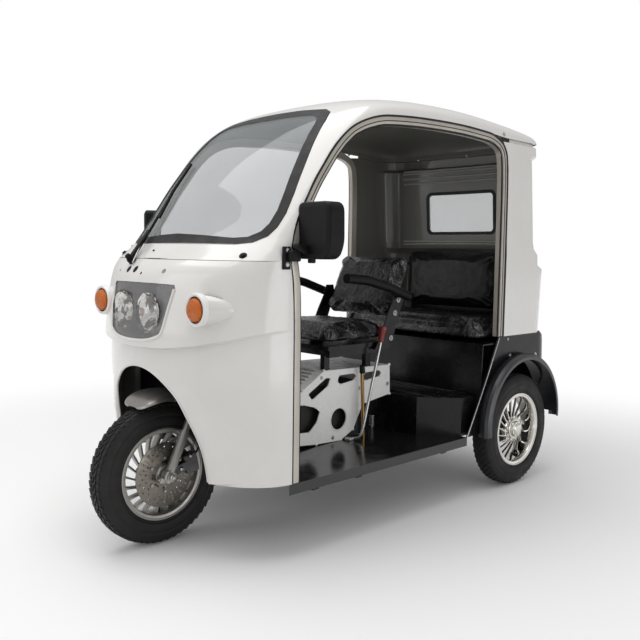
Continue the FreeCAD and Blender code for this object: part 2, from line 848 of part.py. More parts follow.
RAKE = math.radians(size("steering_rake"))
AXLE = Vector(0, station(0), size("tyre_radius"))
UP_FORK = Vector(0, math.sin(RAKE), math.cos(RAKE))
BEHIND_FORK = Vector(0, math.cos(RAKE), -math.sin(RAKE))


def fork_point(x, behind, along):
    """Point in the fork's own directions, measured from the axle."""
    return AXLE + Vector(x, 0, 0) + BEHIND_FORK * behind + UP_FORK * along


def steering_point(along):
    """Point on the steering axis."""
    return fork_point(0, size("fork_offset"), along)


keep("leg_shield", freeform("LegShield", leg_shield()))


def fork_legs():
    """Two legs, the lower clamp, the stem and the axle."""
    spread = size("fork_spread") / 2
    radius = size("fork_leg_radius")
    length = size("fork_length")
    clamp = size("clamp_height")
    pieces = []
    for side in (1, -1):
        foot = fork_point(side * spread, 0, -24)
        pieces.append(Part.makeCylinder(radius, 190, foot, UP_FORK))
        pieces.append(Part.makeCylinder(radius - 4, length + 24, foot, UP_FORK))
    plate = Part.makeBox(2 * spread + 50, size("fork_offset") + 50, clamp, Vector(-spread - 25, -24, 0))
    plate = plate.makeFillet(18, [edge for edge in plate.Edges if abs(edge.tangentAt(edge.FirstParameter).z) > 0.9])
    plate.Placement = Placement(fork_point(0, 0, length - 6), Rotation(Vector(1, 0, 0), -size("steering_rake")))
    pieces.append(plate)
    stem_foot = steering_point(length + clamp - 12)
    pieces.append(Part.makeCylinder(size("stem_radius"), size("stem_length") - length - clamp + 12, stem_foot, UP_FORK))
    reach = spread + radius + 8
    pieces.append(Part.makeCylinder(size("front_axle_radius"), 2 * reach, AXLE - Vector(reach, 0, 0), Vector(1, 0, 0)))
    for side in (1, -1):
        nut = AXLE + Vector(side * (spread + radius - 1), 0, 0)
        pieces.append(Part.makeCylinder(13, 9, nut, Vector(side, 0, 0)))
    return pieces[0].fuse(pieces[1:]).removeSplitter()


keep("fork", freeform("ForkAssembly", fork_legs()))


def handlebar():
    """Swept-back bar with grips and levers."""
    top = size("stem_length")
    half = size("bar_half_width")
    offset = size("fork_offset")
    route = [
        fork_point(half, offset + 70, top + 10),
        fork_point(half * 0.55, offset + 20, top + 22),
        fork_point(half * 0.2, offset, top - 12),
        fork_point(-half * 0.2, offset, top - 12),
        fork_point(-half * 0.55, offset + 20, top + 22),
        fork_point(-half, offset + 70, top + 10),
    ]
    shape = tube(route, size("bar_radius"), 40)
    pieces = []
    for side in (1, -1):
        inner = route[1] if side == 1 else route[-2]
        outer = route[0] if side == 1 else route[-1]
        way = (outer - inner).normalize()
        pieces.append(Part.makeCylinder(size("grip_radius"), 118, outer - way * 112, way))
        pivot = outer - way * 126 - BEHIND_FORK * 6
        lever = [pivot, pivot - BEHIND_FORK * 38 + way * 22, pivot - BEHIND_FORK * 46 + way * 140]
        pieces.append(tube(lever, 5, 20))
        pieces.append(Part.makeCylinder(19, 34, outer - way * 146, way))
    clamp = Part.makeCylinder(24, 34, steering_point(top - 24), UP_FORK)
    hole = Part.makeCylinder(size("stem_radius"), 200, steering_point(top - 200), UP_FORK)
    return shape.fuse(pieces + [clamp]).cut(hole)


keep("handlebar", freeform("BarAndGrips", handlebar()))


def instrument_pod():
    """Rounded meter housing above the bar."""
    top = size("stem_length")
    box = eased_box(-75, 75, -52, 30, 0, 62, 18)
    box.Placement = Placement(steering_point(top + 10.4), Rotation(Vector(1, 0, 0), -size("steering_rake")))
    return box


keep("instrument_pod", freeform("MeterHousing", instrument_pod()))


GUARD_FRONT_ANGLE = 14
GUARD_SWEEP = 60


def mudguard():
    """Broad guard over the front wheel with a front lip that dips towards the tyre."""
    radius = size("tyre_radius") + size("mudguard_gap")
    half = size("mudguard_width") / 2
    wall = 3
    section = [(half, -22), (half - 8, -6), (half - 36, 3), (0, 6), (36 - half, 3), (8 - half, -6), (-half, -22)]
    inner = [(x * 0.95, z - wall) for x, z in reversed(section)]
    corners = [Vector(x, AXLE.y, AXLE.z + radius + z) for x, z in section + inner]
    face = Part.Face(Part.makePolygon(corners + corners[:1]))
    face.rotate(AXLE, Vector(1, 0, 0), GUARD_FRONT_ANGLE)
    shape = face.revolve(AXLE, Vector(1, 0, 0), -GUARD_SWEEP)
    rise = size("fork_length") - 6 - size("seating_gap") - radius
    bracket = Part.makeBox(44, 30, rise, Vector(-22, -15, 0))
    bracket.Placement = Placement(fork_point(0, 0, radius), Rotation(Vector(1, 0, 0), -size("steering_rake")))
    rings = []
    for angle, reach in ((GUARD_FRONT_ANGLE, radius), (GUARD_FRONT_ANGLE + 6, size("tyre_radius") + 12)):
        place = Placement(AXLE, Rotation(Vector(1, 0, 0), angle))
        ring = [Vector(x, 0, reach + (z - wall if reach == radius else -0.3 * abs(z))) for x, z in section]
        ring += [Vector(x, 0, spot.z + wall) for spot, (x, z) in zip(reversed(ring), reversed(section))]
        ring = [place.multVec(spot) for spot in ring]
        rings.append(Part.makePolygon(ring + ring[:1]))
    lip = Part.makeLoft(rings, True, True)
    return shape.fuse([bracket, lip])


FORK_SHAPE = PARTS["fork"].Shape
keep("front_mudguard", freeform("FrontGuard", mudguard().cut(FORK_SHAPE)))


CALIPER_ANGLE = 38


def caliper():
    """Brake caliper on the left leg, astride the disc."""
    disc_x = size("disc_offset")
    gap = 5
    slot_from = disc_x - gap
    slot_to = disc_x + size("disc_thickness") + gap
    rim_inside = size("rim_seat_radius") - 6
    outer = rim_inside - 12
    inner = size("disc_radius") - 32
    width = 74
    slot_depth = size("disc_radius") + gap
    body = Part.makeBox(slot_to + 20 - slot_from, outer - inner, width, Vector(slot_from - 8, inner, -width / 2))
    body = body.makeChamfer(5, body.Edges)
    slot = Part.makeBox(slot_to - slot_from, slot_depth, width + 40, Vector(slot_from, 0, -width / 2 - 20))
    arm = Part.makeBox(12, inner + 24, 30, Vector(slot_to + 1, 10, -15))
    body = body.cut(slot).fuse(arm)
    tilt = CALIPER_ANGLE - size("steering_rake")
    body.Placement = Placement(AXLE, Rotation(Vector(1, 0, 0), tilt))
    return body.cut(FORK_SHAPE)


keep("brake_caliper", freeform("Caliper", caliper()))

# Wheels turn about X in a frame of their own and are then placed on their axles.


def wheel_place(item, x, y):
    """Put a wheel piece on its axle."""
    item.Placement = Placement(Vector(0, 0, 0), Rotation())
    bind(
        item,
        Placement__Base__x=x,
        Placement__Base__y=f"front_axle_y + ( {y} )",
        Placement__Base__z="tyre_radius",
    )
    return item


def tyre(name):
    """Tyre with flat walls, bevelled shoulders and a flat crown."""
    body = new_body(name)
    half = "tyre_width / 2"
    right = [
        (half, "rim_flange_radius + seating_gap"),
        (half, "tyre_radius - 22"),
        (f"{half} - 16", "tyre_radius"),
    ]
    left = [(f"-( {x} )", r) for x, r in reversed(right)]
    lathe(body, name + "Turn", outline_sketch(body, name + "Section", "XZ_Plane", right + left))
    return body


def spoke_corners(inner, outer, sweep, thick):
    """Curved spoke as YZ corners given by formulas."""
    front = []
    back = []
    steps = 4
    for k in range(steps + 1):
        part = k / steps
        angle = sweep * (1 - (1 - part) ** 2)
        radius = f"( {inner} + ( {outer} - {inner} ) * {part} )"
        front.append((f"{radius} * cos({angle}) - {thick / 2} * sin({angle})",
                      f"{radius} * sin({angle}) + {thick / 2} * cos({angle})"))
        back.append((f"{radius} * cos({angle}) + {thick / 2} * sin({angle})",
                     f"{radius} * sin({angle}) - {thick / 2} * cos({angle})"))
    return front + list(reversed(back))


def rim(name, spoke_x, spoke_width, spoke_thick, sweep, hub, count, hub_radius):
    """Cast rim: flanged barrel, curved spokes and a bored hub."""
    body = new_body(name)
    half = "rim_width / 2"
    seat = "rim_seat_radius"
    flange = "rim_flange_radius"
    barrel = [
        (f"-{half}", flange), (f"-{half} + rim_wall", flange), (f"-{half} + rim_wall", seat),
        (f"{half} - rim_wall", seat), (f"{half} - rim_wall", flange), (half, flange),
        (half, f"{seat} - 3"), (f"{half} - 8", f"{seat} - 6"),
        (f"-{half} + 8", f"{seat} - 6"), (f"-{half}", f"{seat} - 3"),
    ]
    lathe(body, name + "Barrel", outline_sketch(body, name + "BarrelSection", "XZ_Plane", barrel))
    corners = spoke_corners(f"( {hub_radius} - 6 )", f"( {seat} - 4 )", sweep, spoke_thick)
    spoke = pad(body, name + "Spoke", outline_sketch(body, name + "SpokeShape", "YZ_Plane", corners, spoke_x),
                spoke_width)
    ring_pattern(body, name + "Spokes", spoke, "X_Axis", count)
    lathe(body, name + "Hub", outline_sketch(body, name + "HubSection", "XZ_Plane", hub))
    return body


FRONT_BORE = "front_axle_radius + running_gap"
FRONT_HUB = [
    ("-front_hub_width / 2", FRONT_BORE), ("disc_offset - 0.3", FRONT_BORE),
    ("disc_offset - 0.3", "front_hub_radius - 6"), ("front_hub_width / 2 - 8", "front_hub_radius"),
    ("-front_hub_width / 2 + 8", "front_hub_radius"), ("-front_hub_width / 2", "front_hub_radius - 6"),
]
keep("front_tyre", wheel_place(tyre("FrontTyre"), "0", "0"))
keep("front_rim", wheel_place(
    rim("FrontRim", "0", "16", 8, 42, FRONT_HUB, "front_spoke_count", "front_hub_radius"), "0", "0"))


def brake_disc():
    """Drilled disc beside the front hub."""
    body = new_body("FrontDisc")
    half = "disc_thickness"
    section = [
        ("disc_offset", FRONT_BORE), (f"disc_offset + {half}", FRONT_BORE),
        (f"disc_offset + {half}", "disc_radius"), ("disc_offset", "disc_radius"),
    ]
    lathe(body, "DiscTurn", outline_sketch(body, "DiscSection", "XZ_Plane", section))
    for ring, (share, radius) in enumerate(((0.5, 13), (0.86, 5))):
        sketch = body.newObject("Sketcher::SketchObject", f"DiscHole{ring}")
        sketch.AttachmentSupport = (plane_of(body, "YZ_Plane"), [""])
        sketch.MapMode = "FlatFace"
        sketch.addGeometry(Part.Circle(Vector(60, 0, 0), Vector(0, 0, 1), radius), False)
        index = sketch.addConstraint(Sketcher.Constraint("DistanceX", -1, 1, 0, 3, 60))
        sketch.setExpression(f"Constraints[{index}]", formula(f"disc_radius * {share}"))
        sketch.addConstraint(Sketcher.Constraint("PointOnObject", 0, 3, -1))
        sketch.addConstraint(Sketcher.Constraint("Radius", 0, radius))
        hole = body.newObject("PartDesign::Pocket", f"DiscDrill{ring}")
        hole.Profile = sketch
        hole.Midplane = True
        bind(hole, Length="4 * disc_offset")
        doc.recompute()
        ring_pattern(body, f"DiscRing{ring}", hole, "X_Axis", str(8 + 8 * ring))
    return body


keep("front_disc", wheel_place(brake_disc(), "0", "0"))

# The left rear wheel faces outwards along +X; the right one is the same wheel turned round.
REAR_BORE = "axle_shaft_radius + running_gap"
REAR_HUB = [
    ("-30", REAR_BORE), ("34", REAR_BORE), ("34", "rear_cap_radius"),
    ("10", "rear_cap_radius"), ("4", "rear_hub_radius"), ("-18", "rear_hub_radius"),
    ("-30", "rear_hub_radius - 12"),
]
for side, turn in (("left", 0), ("right", 180)):
    title = side.capitalize()
    sign = "" if side == "left" else "-"
    rear_tyre = wheel_place(tyre(f"Rear{title}Tyre"), f"{sign}( body_half_width - rear_wheel_inset )", "wheel_base")
    rear_rim = wheel_place(
        rim(f"Rear{title}Rim", "2", "14", 9, 38, REAR_HUB, "rear_spoke_count", "rear_hub_radius"),
        f"{sign}( body_half_width - rear_wheel_inset )", "wheel_base")
    for item in (rear_tyre, rear_rim):
        item.Placement.Rotation = Rotation(Vector(0, 0, 1), turn)
    keep(f"rear_{side}_tyre", rear_tyre)
    keep(f"rear_{side}_rim", rear_rim)

# Frame, axle and springs under the floor.

SHAFT_RADIUS = 15
DIFFERENTIAL_NOSE = 120


def shaft_rod(radius):
    """Rod from the engine's rear face to the differential's nose."""
    gap = size("seating_gap")
    tilt_room = 0.8
    front = size("engine_front_y") + size("engine_length") + gap + tilt_room
    rear = size("wheel_base") - DIFFERENTIAL_NOSE - gap - tilt_room
    start = Vector(0, station(front), size("engine_low") + 20)
    end = Vector(0, station(rear), size("tyre_radius"))
    return Part.makeCylinder(radius, (end - start).Length, start, end - start)


def frame():
    """Two rails with cross members, a down tube and the head tube."""
    spread = size("rail_spread") / 2
    width = size("rail_width")
    height = size("rail_height")
    top = size("floor_height") - size("floor_sheet")
    rise = size("rail_rise")
    kick = size("wheel_base") - 334
    end = size("rear_wall_y") - 78
    side_view = [
        (330, top - height), (kick, top - height), (kick + 170, top - height + rise), (end, top - height + rise),
        (end, top + rise), (kick + 148, top + rise), (kick - 22, top), (330, top),
    ]
    outline = [(station(y), z) for y, z in side_view]
    pieces = []
    for side in (1, -1):
        pieces.append(prism_x(outline, side * spread - width / 2, side * spread + width / 2))
    reach = size("body_half_width") - size("floor_sheet") - 1.5
    for y in (326, 545, 1050):
        pieces.append(Part.makeBox(2 * reach, width, height - 12, Vector(-reach, station(y), top - height + 12)))
    for y in (kick + 190, end - 28):
        pieces.append(Part.makeBox(2 * spread, width, height - 10, Vector(-spread, station(y), top - height + rise + 5)))
    head_low = size("fork_length") + size("clamp_height") - 6 + 0.4
    head_length = size("head_tube_length")
    head = Part.makeCylinder(size("head_tube_radius"), head_length, steering_point(head_low), UP_FORK)
    down_from = steering_point(head_low + 0.55 * head_length)
    down = [down_from, Vector(0, station(322), 500), Vector(0, station(324), top - height / 2)]
    pieces.append(head)
    pieces.append(tube(down, 21, 90))
    beam = pieces[0].fuse(pieces[1:])
    bore = Part.makeCylinder(size("stem_radius") + size("running_gap"), 600, steering_point(head_low - 60), UP_FORK)
    holes = []
    for side in (1, -1):
        start = Vector(side * size("bracket_hole_spread") / 2, station(end - 90), top - height / 2 + rise)
        holes.append(Part.makeCylinder(size("bracket_hole_radius"), 200, start, Vector(0, 1, 0)))
    return beam.cut([bore, shaft_rod(SHAFT_RADIUS + 8)] + holes)


keep("frame", freeform("FrameWeldment", frame()))


def rear_axle():
    """Axle tube with its differential casing, brake drums and the shafts that carry the wheels."""
    y = station(size("wheel_base"))
    z = size("tyre_radius")
    half = size("body_half_width") - size("rear_wheel_inset")
    tube = size("axle_tube_radius")
    shaft = size("axle_shaft_radius")
    drum_out = half - 32
    drum_in = half - 65
    right = [
        (32, 82), (64, 68), (112, tube), (drum_in, tube), (drum_in, 74), (drum_out, 74), (drum_out, shaft),
        (half + 30, shaft), (half + 30, 0),
    ]
    outline = [(-x, r) for x, r in reversed(right)] + right
    corners = [Vector(x, y, z + r) for x, r in outline]
    turned = Part.Face(Part.makePolygon(corners + corners[:1])).revolve(Vector(0, y, z), Vector(1, 0, 0), 360)
    nose = Part.makeCylinder(44, DIFFERENTIAL_NOSE, Vector(0, y - DIFFERENTIAL_NOSE, z), Vector(0, 1, 0))
    return turned.fuse(nose)


keep("rear_axle", freeform("AxleHousing", rear_axle()))


def leaf_springs():
    """Leaf pack on the axle at each side, hung from the rails."""
    y = size("wheel_base")
    base = size("tyre_radius") + size("axle_tube_radius")
    top = size("floor_height") - size("floor_sheet") - size("rail_height") + size("rail_rise")
    spread = size("rail_spread") / 2
    width = size("rail_width")
    packs = []
    for side in (1, -1):
        x = side * spread - width / 2
        leaves = []
        for k, reach in enumerate((170, 130, 90, 60)):
            low = base + 7 * (3 - k) + 0.3
            leaves.append(Part.makeBox(width, 2 * reach, 7, Vector(x, station(y - reach), low)))
        for eye_y in (y - 148, y + 148):
            low = base + 21 + 0.3 + 7
            leaves.append(Part.makeBox(width, 22, top - low - 0.3, Vector(x, station(eye_y - 11), low)))
        packs.append(leaves[0].fuse(leaves[1:]).removeSplitter())
    return Part.makeCompound(packs)


keep("leaf_springs", freeform("LeafPacks", leaf_springs()))


keep("drive_shaft", freeform("PropShaft", shaft_rod(SHAFT_RADIUS)))


MUFFLER_X = 178
MUFFLER_HEIGHT = 168
MUFFLER_RADIUS = 44


def exhaust():
    """Muffler slung under the floor on the right, with its pipe."""
    side = -size("engine_width") / 2 - size("seating_gap")
    x = -MUFFLER_X
    z = MUFFLER_HEIGHT
    pipe_z = size("engine_low") + 27
    route = [
        Vector(side, station(700), pipe_z), Vector(x, station(700), pipe_z), Vector(x, station(800), z),
        Vector(x, station(980), z),
    ]
    pipe = tube(route, 14, 30)
    can = Part.makeCylinder(MUFFLER_RADIUS, 340, Vector(x, station(975), z), Vector(0, 1, 0))
    tail = Part.makeCylinder(12, 50, Vector(x, station(1315), z - 4), Vector(0, 1, 0))
    member_low = size("floor_height") - size("floor_sheet") - size("rail_height") + 12
    hanger = Part.makeBox(12, 22, member_low - size("seating_gap") - z - 30, Vector(x - 6, station(1054), z + 30))
    return pipe.fuse([can, tail, hanger])


def rear_step():
    """Raised ribbed footwell step with cut corners."""
    top = size("step_height")
    low = size("floor_height") + 0.3
    front = size("step_front_y")
    back = size("bench_front_y") - 0.3
    plan = [(300, front), (438, 1208), (438, back), (-438, back), (-438, 1208), (-300, front)]
    inner = [(298, front + 4), (434, 1210), (434, back + 5), (-434, back + 5), (-434, 1210), (-298, front + 4)]

    def slab(outline, z_from, z_to):
        corners = [Vector(x, station(y), z_from) for x, y in outline]
        return Part.Face(Part.makePolygon(corners + corners[:1])).extrude(Vector(0, 0, z_to - z_from))

    shape = slab(plan, low, top).cut(slab(inner, low - 5, top - 4))
    ribs = []
    for k in range(9):
        y = front + 26 + 22 * k
        half = 290 if y < 1208 else 400
        half = min(half, 300 + max(0, y - front) - 10) if y < 1208 else half
        ribs.append(Part.makeBox(2 * half, 9, 4, Vector(-half, station(y), top)))
    return shape.fuse(ribs)


keep("rear_step", freeform("StepMoulding", rear_step()))


def bench_base():
    """Front wall and seat pan of the passenger bench."""
    wall = size("bench_sheet")
    front = size("bench_front_y")
    top = size("bench_height")
    half = size("body_half_width") - size("panel_wall") - 4
    rear = size("bench_cushion_rear") - 15
    section = [
        (front, size("step_height") - 40), (front + 12, top), (rear, top), (rear, top - wall),
        (front + 16, top - wall), (front + 5, size("step_height") - 40),
    ]
    pan = prism_x([(station(y), z) for y, z in section], -half, half)
    tongue = Part.makeBox(580, 44, wall, Vector(-290, station(rear - 1), top - wall))
    plate_y = size("bench_cushion_rear") + size("cushion_gap")
    plate = Part.makeBox(570, wall, 390, Vector(-285, station(plate_y), top - 1))
    return pan.fuse([tongue, plate]).removeSplitter()


keep("bench_base", freeform("BenchPan", bench_base()))


def cushion(node, name, x, y_from, y_to, z_from, z_to, radius):
    """Plain padded block."""
    keep(node, freeform(name, eased_box(-x, x, station(y_from), station(y_to), z_from, z_to, radius)))


BENCH_TOP = size("bench_height") + size("cushion_gap")
cushion("bench_cushion", "BenchPad", 430, 1332, size("bench_cushion_rear"), BENCH_TOP,
        BENCH_TOP + size("bench_cushion_height"), 24)
BACK_LOW = BENCH_TOP + size("bench_cushion_height") + size("cushion_gap")
cushion("bench_backrest", "BenchBackPad", 290, size("bench_cushion_rear") - 78, size("bench_cushion_rear") - 2,
        BACK_LOW, BACK_LOW + size("bench_back_height"), 20)

# Driver's seat on its black box frame.

cushion("seat_cushion", "SeatPad", size("seat_half_width"), size("seat_front_y"), size("seat_rear_y"),
        size("seat_height"), size("seat_height") + size("seat_cushion_height"), 22)


def seat_backrest():
    """Leaning back pad of the driver's seat."""
    half = size("seat_half_width")
    thick = size("seat_back_thickness")
    lean = size("seat_back_lean")
    pad_box = eased_box(-half, half, 0, thick, 0, size("seat_back_height"), 20)
    foot = Vector(0, station(size("seat_rear_y") - 16), size("seat_height") + size("seat_cushion_height") + 18)
    pad_box.Placement = Placement(foot, Rotation(Vector(1, 0, 0), -lean))
    return pad_box


keep("seat_backrest", freeform("SeatBackPad", seat_backrest()))


ARM_RADIUS = 19
ARM_END_RISE = 193
COVER_FRONT_Y = 676
COVER_REAR_Y = 1073
COVER_FALL = 11


def cover_height():
    """Height of the front edge of the engine cover's flat top."""
    return size("seat_height") - size("seat_cover_gap")


def cover_top(y):
    """Height of the engine cover's top at a station."""
    return cover_height() - (y - COVER_FRONT_Y) * COVER_FALL / (COVER_REAR_Y - COVER_FRONT_Y)


PLATE = [
    (905, -30), (1000, -30), (1050, 95), (1085, 185), (1075, 220), (1035, 220), (1018, 173), (985, 115), (935, 10),
]


def seat_base():
    """Seat pan on four legs with side rails and the back's hinge plates."""
    seat = size("seat_height")
    top = seat - size("cushion_gap")
    half = size("seat_half_width") - 8
    front = size("seat_front_y") + 12
    back = size("seat_rear_y") - 8
    pan = Part.makeBox(2 * half, back - front, 16, Vector(-half, station(front), top - 16))
    pieces = [pan]
    for x in (-half + 4, half - 26):
        pieces.append(Part.makeBox(22, back - front - 20, 28, Vector(x, station(front + 10), top - 44)))
    for y in (front + 36, back - 60):
        pieces.append(Part.makeBox(2 * half - 10, 30, 28, Vector(-half + 5, station(y), top - 44)))
        low = cover_top(y) + size("seating_gap")
        for x in (-138, 116):
            pieces.append(Part.makeBox(22, 30, top - 40 - low, Vector(x, station(y), low)))
    for side in (1, -1):
        x = side * (size("seat_half_width") + size("seating_gap"))
        plate = prism_x([(station(y), seat + z) for y, z in PLATE], x, x + side * 7)
        arm_inner = side * (size("armrest_x") - ARM_RADIUS - size("seating_gap"))
        boss_foot = Vector(x, station(1052), seat + ARM_END_RISE)
        boss = Part.makeCylinder(13, abs(arm_inner - x), boss_foot, Vector(side, 0, 0))
        spacer = Part.makeBox(30, 60, 12, Vector(x - 15 - 13 * side, station(920), top - 29))
        pieces.extend([plate, boss, spacer])
    return pieces[0].fuse(pieces[1:]).removeSplitter()


keep("seat_base", freeform("SeatFrame", seat_base()))


def armrest():
    """Curved padded arm on the left of the driver's seat."""
    x = size("armrest_x")
    rises = [(690, 270), (810, 260), (940, 230), (1066, ARM_END_RISE - 4)]
    return tube([Vector(x, station(y), size("seat_height") + z) for y, z in rises], ARM_RADIUS, 160)


ARM = armrest()
keep("armrests", freeform("ArmPads", Part.makeCompound([ARM, mirrored(ARM)])))

# Engine under the driver's seat and its white ventilated cover.

# Outlines are drawn for a cover whose top stands at this height; they stretch with it above the floor.

DRAWN_COVER = 563
COVER_OUTER = [
    (430, 430), (505, 283), (640, 270), (779, 265.3), (850, 300), (905, 400), (1078, 424), (1073, 552),
    (676, 563), (560, 495),
]
COVER_INNER = [
    (420, 300), (510, 230), (785, 230), (860, 296), (910, 396), (1074, 410), (1069, 548), (677, 558),
    (562, 490), (440, 424),
]
SLOTS = [
    [(590, 478), (612, 452), (700, 500), (712, 528), (690, 534)],
    [(752, 512), (768, 498), (850, 508), (862, 524), (850, 536), (762, 536)],
    [(905, 508), (918, 498), (1010, 508), (1018, 520), (1008, 534), (915, 532)],
    [(520, 330), (600, 325), (640, 360), (655, 400), (630, 420), (560, 440), (490, 430), (480, 380)],
]
VENT_Y = 762
VENT_HEIGHT = 356
VENT_RADIUS = 44


def cover_outline(points):
    """Side outline of the cover stretched to its real height."""
    floor = size("floor_height")
    rise = (cover_height() - floor) / (DRAWN_COVER - floor)
    return [(station(y), floor + (z - floor) * rise if z > floor + 1 else z) for y, z in points]


def engine_cover():
    """Hollow cover, open below and in front, with slots and a round vent in each side."""
    half = size("cover_half_width")
    wall = size("cover_wall")
    shape = prism_x(cover_outline(COVER_OUTER), -half, half)
    shape = shape.cut(prism_x(cover_outline(COVER_INNER), -half + wall, half - wall))
    vents = [prism_x(cover_outline(slot), -half - 10, half + 10) for slot in SLOTS]
    vent_y, vent_z = cover_outline([(VENT_Y, VENT_HEIGHT)])[0]
    vents.append(Part.makeCylinder(VENT_RADIUS, 2 * half + 20, Vector(-half - 10, vent_y, vent_z), Vector(1, 0, 0)))
    return shape.cut(vents)


keep("engine_cover", freeform("CoverMoulding", engine_cover()))
engine = block("EngineBlock", "-engine_width / 2", "engine_width / 2", "engine_front_y",
               "engine_front_y + engine_length", "engine_low", "seat_height - seat_cover_gap - cover_engine_gap")
keep("engine_block", engine)
keep("exhaust", freeform("MufflerAndPipe", exhaust()))


def levers():
    """Hand lever with its grip and a short second lever on the left, and the foot pedal."""
    x = 214
    floor_top = size("floor_height") + 0.3
    main = tube([Vector(x - 52, station(806), floor_top + 6), Vector(x, station(832), floor_top + 6),
                 Vector(x + 10, station(862), 420), Vector(x + 20, station(900), 690)], 6, 14)
    grip = tube([Vector(x + 18, station(892), 640), Vector(x + 22, station(908), 720)], 15, 10)
    second = tube([Vector(x - 34, station(880), floor_top + 0.8), Vector(x - 34, station(872), 420),
                   Vector(x - 30, station(862), 560)], 8, 20)
    pedal = tube([Vector(-190, station(420), floor_top + 4), Vector(-190, station(380), 330),
                  Vector(-190, station(400), 352)], 8, 10)
    foot = Part.makeBox(60, 12, 50, Vector(-220, station(400), 340))
    return Part.makeCompound([main.fuse(grip), second, pedal.fuse(foot)])


keep("levers", freeform("HandAndFootLevers", levers()))


MIRROR_TURNS = {"left": -3, "right": -32}
MIRROR_ARM_X = 486
MIRROR_LOW = 1001


def mirror(turn, outward=0.0):
    """Door mirror on its bracket, on the left side before any mirroring, turned about its arm."""
    width = size("mirror_width")
    height = size("mirror_height")
    depth = size("mirror_depth")
    side = size("body_half_width")
    arm_x = widened(MIRROR_ARM_X) + outward
    case = Part.makeBox(width, depth, height, Vector(arm_x - 54, station(262), MIRROR_LOW))
    case = case.makeChamfer(14, case.Edges)
    case.rotate(Vector(arm_x, station(282), 0), Vector(0, 0, 1), turn)
    bracket = Part.makeBox(12, 30, 74, Vector(side - 7, station(176), 978))
    arm = tube([Vector(side + 2, station(190), 1024), Vector(arm_x, station(215), 1030),
                Vector(arm_x, station(280), 1040)], 11, 18)
    return case.fuse([arm, bracket])


# Both mirrors reach equally far out, although the right one is turned towards the driver.
LEFT_MIRROR = mirror(MIRROR_TURNS["left"])
RIGHT_TURN = -MIRROR_TURNS["right"]
OUTWARD = LEFT_MIRROR.BoundBox.XMax - mirror(RIGHT_TURN).BoundBox.XMax
RIGHT_MIRROR = mirrored(mirror(RIGHT_TURN, OUTWARD))
for side_name, shape in (("left", LEFT_MIRROR), ("right", RIGHT_MIRROR)):
    shape = shape.cut([PARTS["door_frames"].Shape, PARTS["front_fairing"].Shape, PARTS["upper_shell"].Shape])
    keep(f"mirror_{side_name}", freeform(f"Mirror{side_name.capitalize()}", max(shape.Solids, key=lambda s: s.Volume)))


def wiper():
    """Wiper arm and blade on the screen's right half, lying along its surface."""
    lift = Vector(0, -9, 5)
    pivot = Vector(-126, station(-22), 996)
    elbow = Vector(-216, station(112), 1094) + lift
    rest = Vector(-224, station(226), 1256) + lift
    low = Vector(-200, station(148), 1150) + lift
    high = Vector(-245, station(322), 1366) + lift
    arm = tube([pivot, elbow, rest], 5, 40)
    blade = tube([low, rest, high], 6, 200)
    hub = Part.makeCylinder(14, 30, pivot + Vector(0, -8, 8), Vector(0, 1, -1))
    return arm.fuse([blade, hub])


WIPER = wiper().cut([PARTS["front_fairing"].Shape, PARTS["upper_shell"].Shape, PARTS["windscreen_seal"].Shape])
keep("wiper", freeform("WiperArm", max(WIPER.Solids, key=lambda solid: solid.Volume)))


TAIL_LAMP_X = 290
TAIL_LAMP_LOW = 540
TAIL_LAMP_SIDE = 90


def tail_lamp():
    """Rear lamp on the left of the lower body."""
    x = widened(TAIL_LAMP_X)
    back = station(size("rear_wall_y") + 34)
    return eased_box(x, x + TAIL_LAMP_SIDE, back - 60, back, TAIL_LAMP_LOW, TAIL_LAMP_LOW + TAIL_LAMP_SIDE, 6)


LAMP_LEFT = tail_lamp().cut(PARTS["lower_body"].Shape)
LAMP_LEFT = max(LAMP_LEFT.Solids, key=lambda solid: solid.CenterOfMass.y)
keep("tail_lamps", freeform("RearLamps", Part.makeCompound([LAMP_LEFT, mirrored(LAMP_LEFT)])))

doc.recompute()

for item in doc.Objects:
    if "Invalid" in item.State or "Error" in item.State:
        raise RuntimeError(f"{item.Name} failed: {item.State}")
for node, item in PARTS.items():
    if item.Shape.isNull() or not item.Shape.isValid():
        raise RuntimeError(f"{node} has no valid shape")

os.makedirs("parts", exist_ok=True)
for node, item in PARTS.items():
    item.Shape.exportStep(f"parts/{node}.step")
    print(node, len(item.Shape.Solids), round(item.Shape.Volume / 1000, 1), "cm3")
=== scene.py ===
"""Dresses a small three-wheeled passenger cab: finishes, seats, lamps, wheels, trim, studio and camera.

Lengths are in metres. A place (x, station, height) is in millimetres, its station measured back from the
front axle. X points to the vehicle's left, the nose faces -Y and Z is up.
"""

from __future__ import annotations

import json
import logging
import math
from contextlib import contextmanager
from dataclasses import dataclass
from enum import Enum
from typing import Iterator, Sequence

import bmesh
import bpy
from mathutils import Matrix, Vector

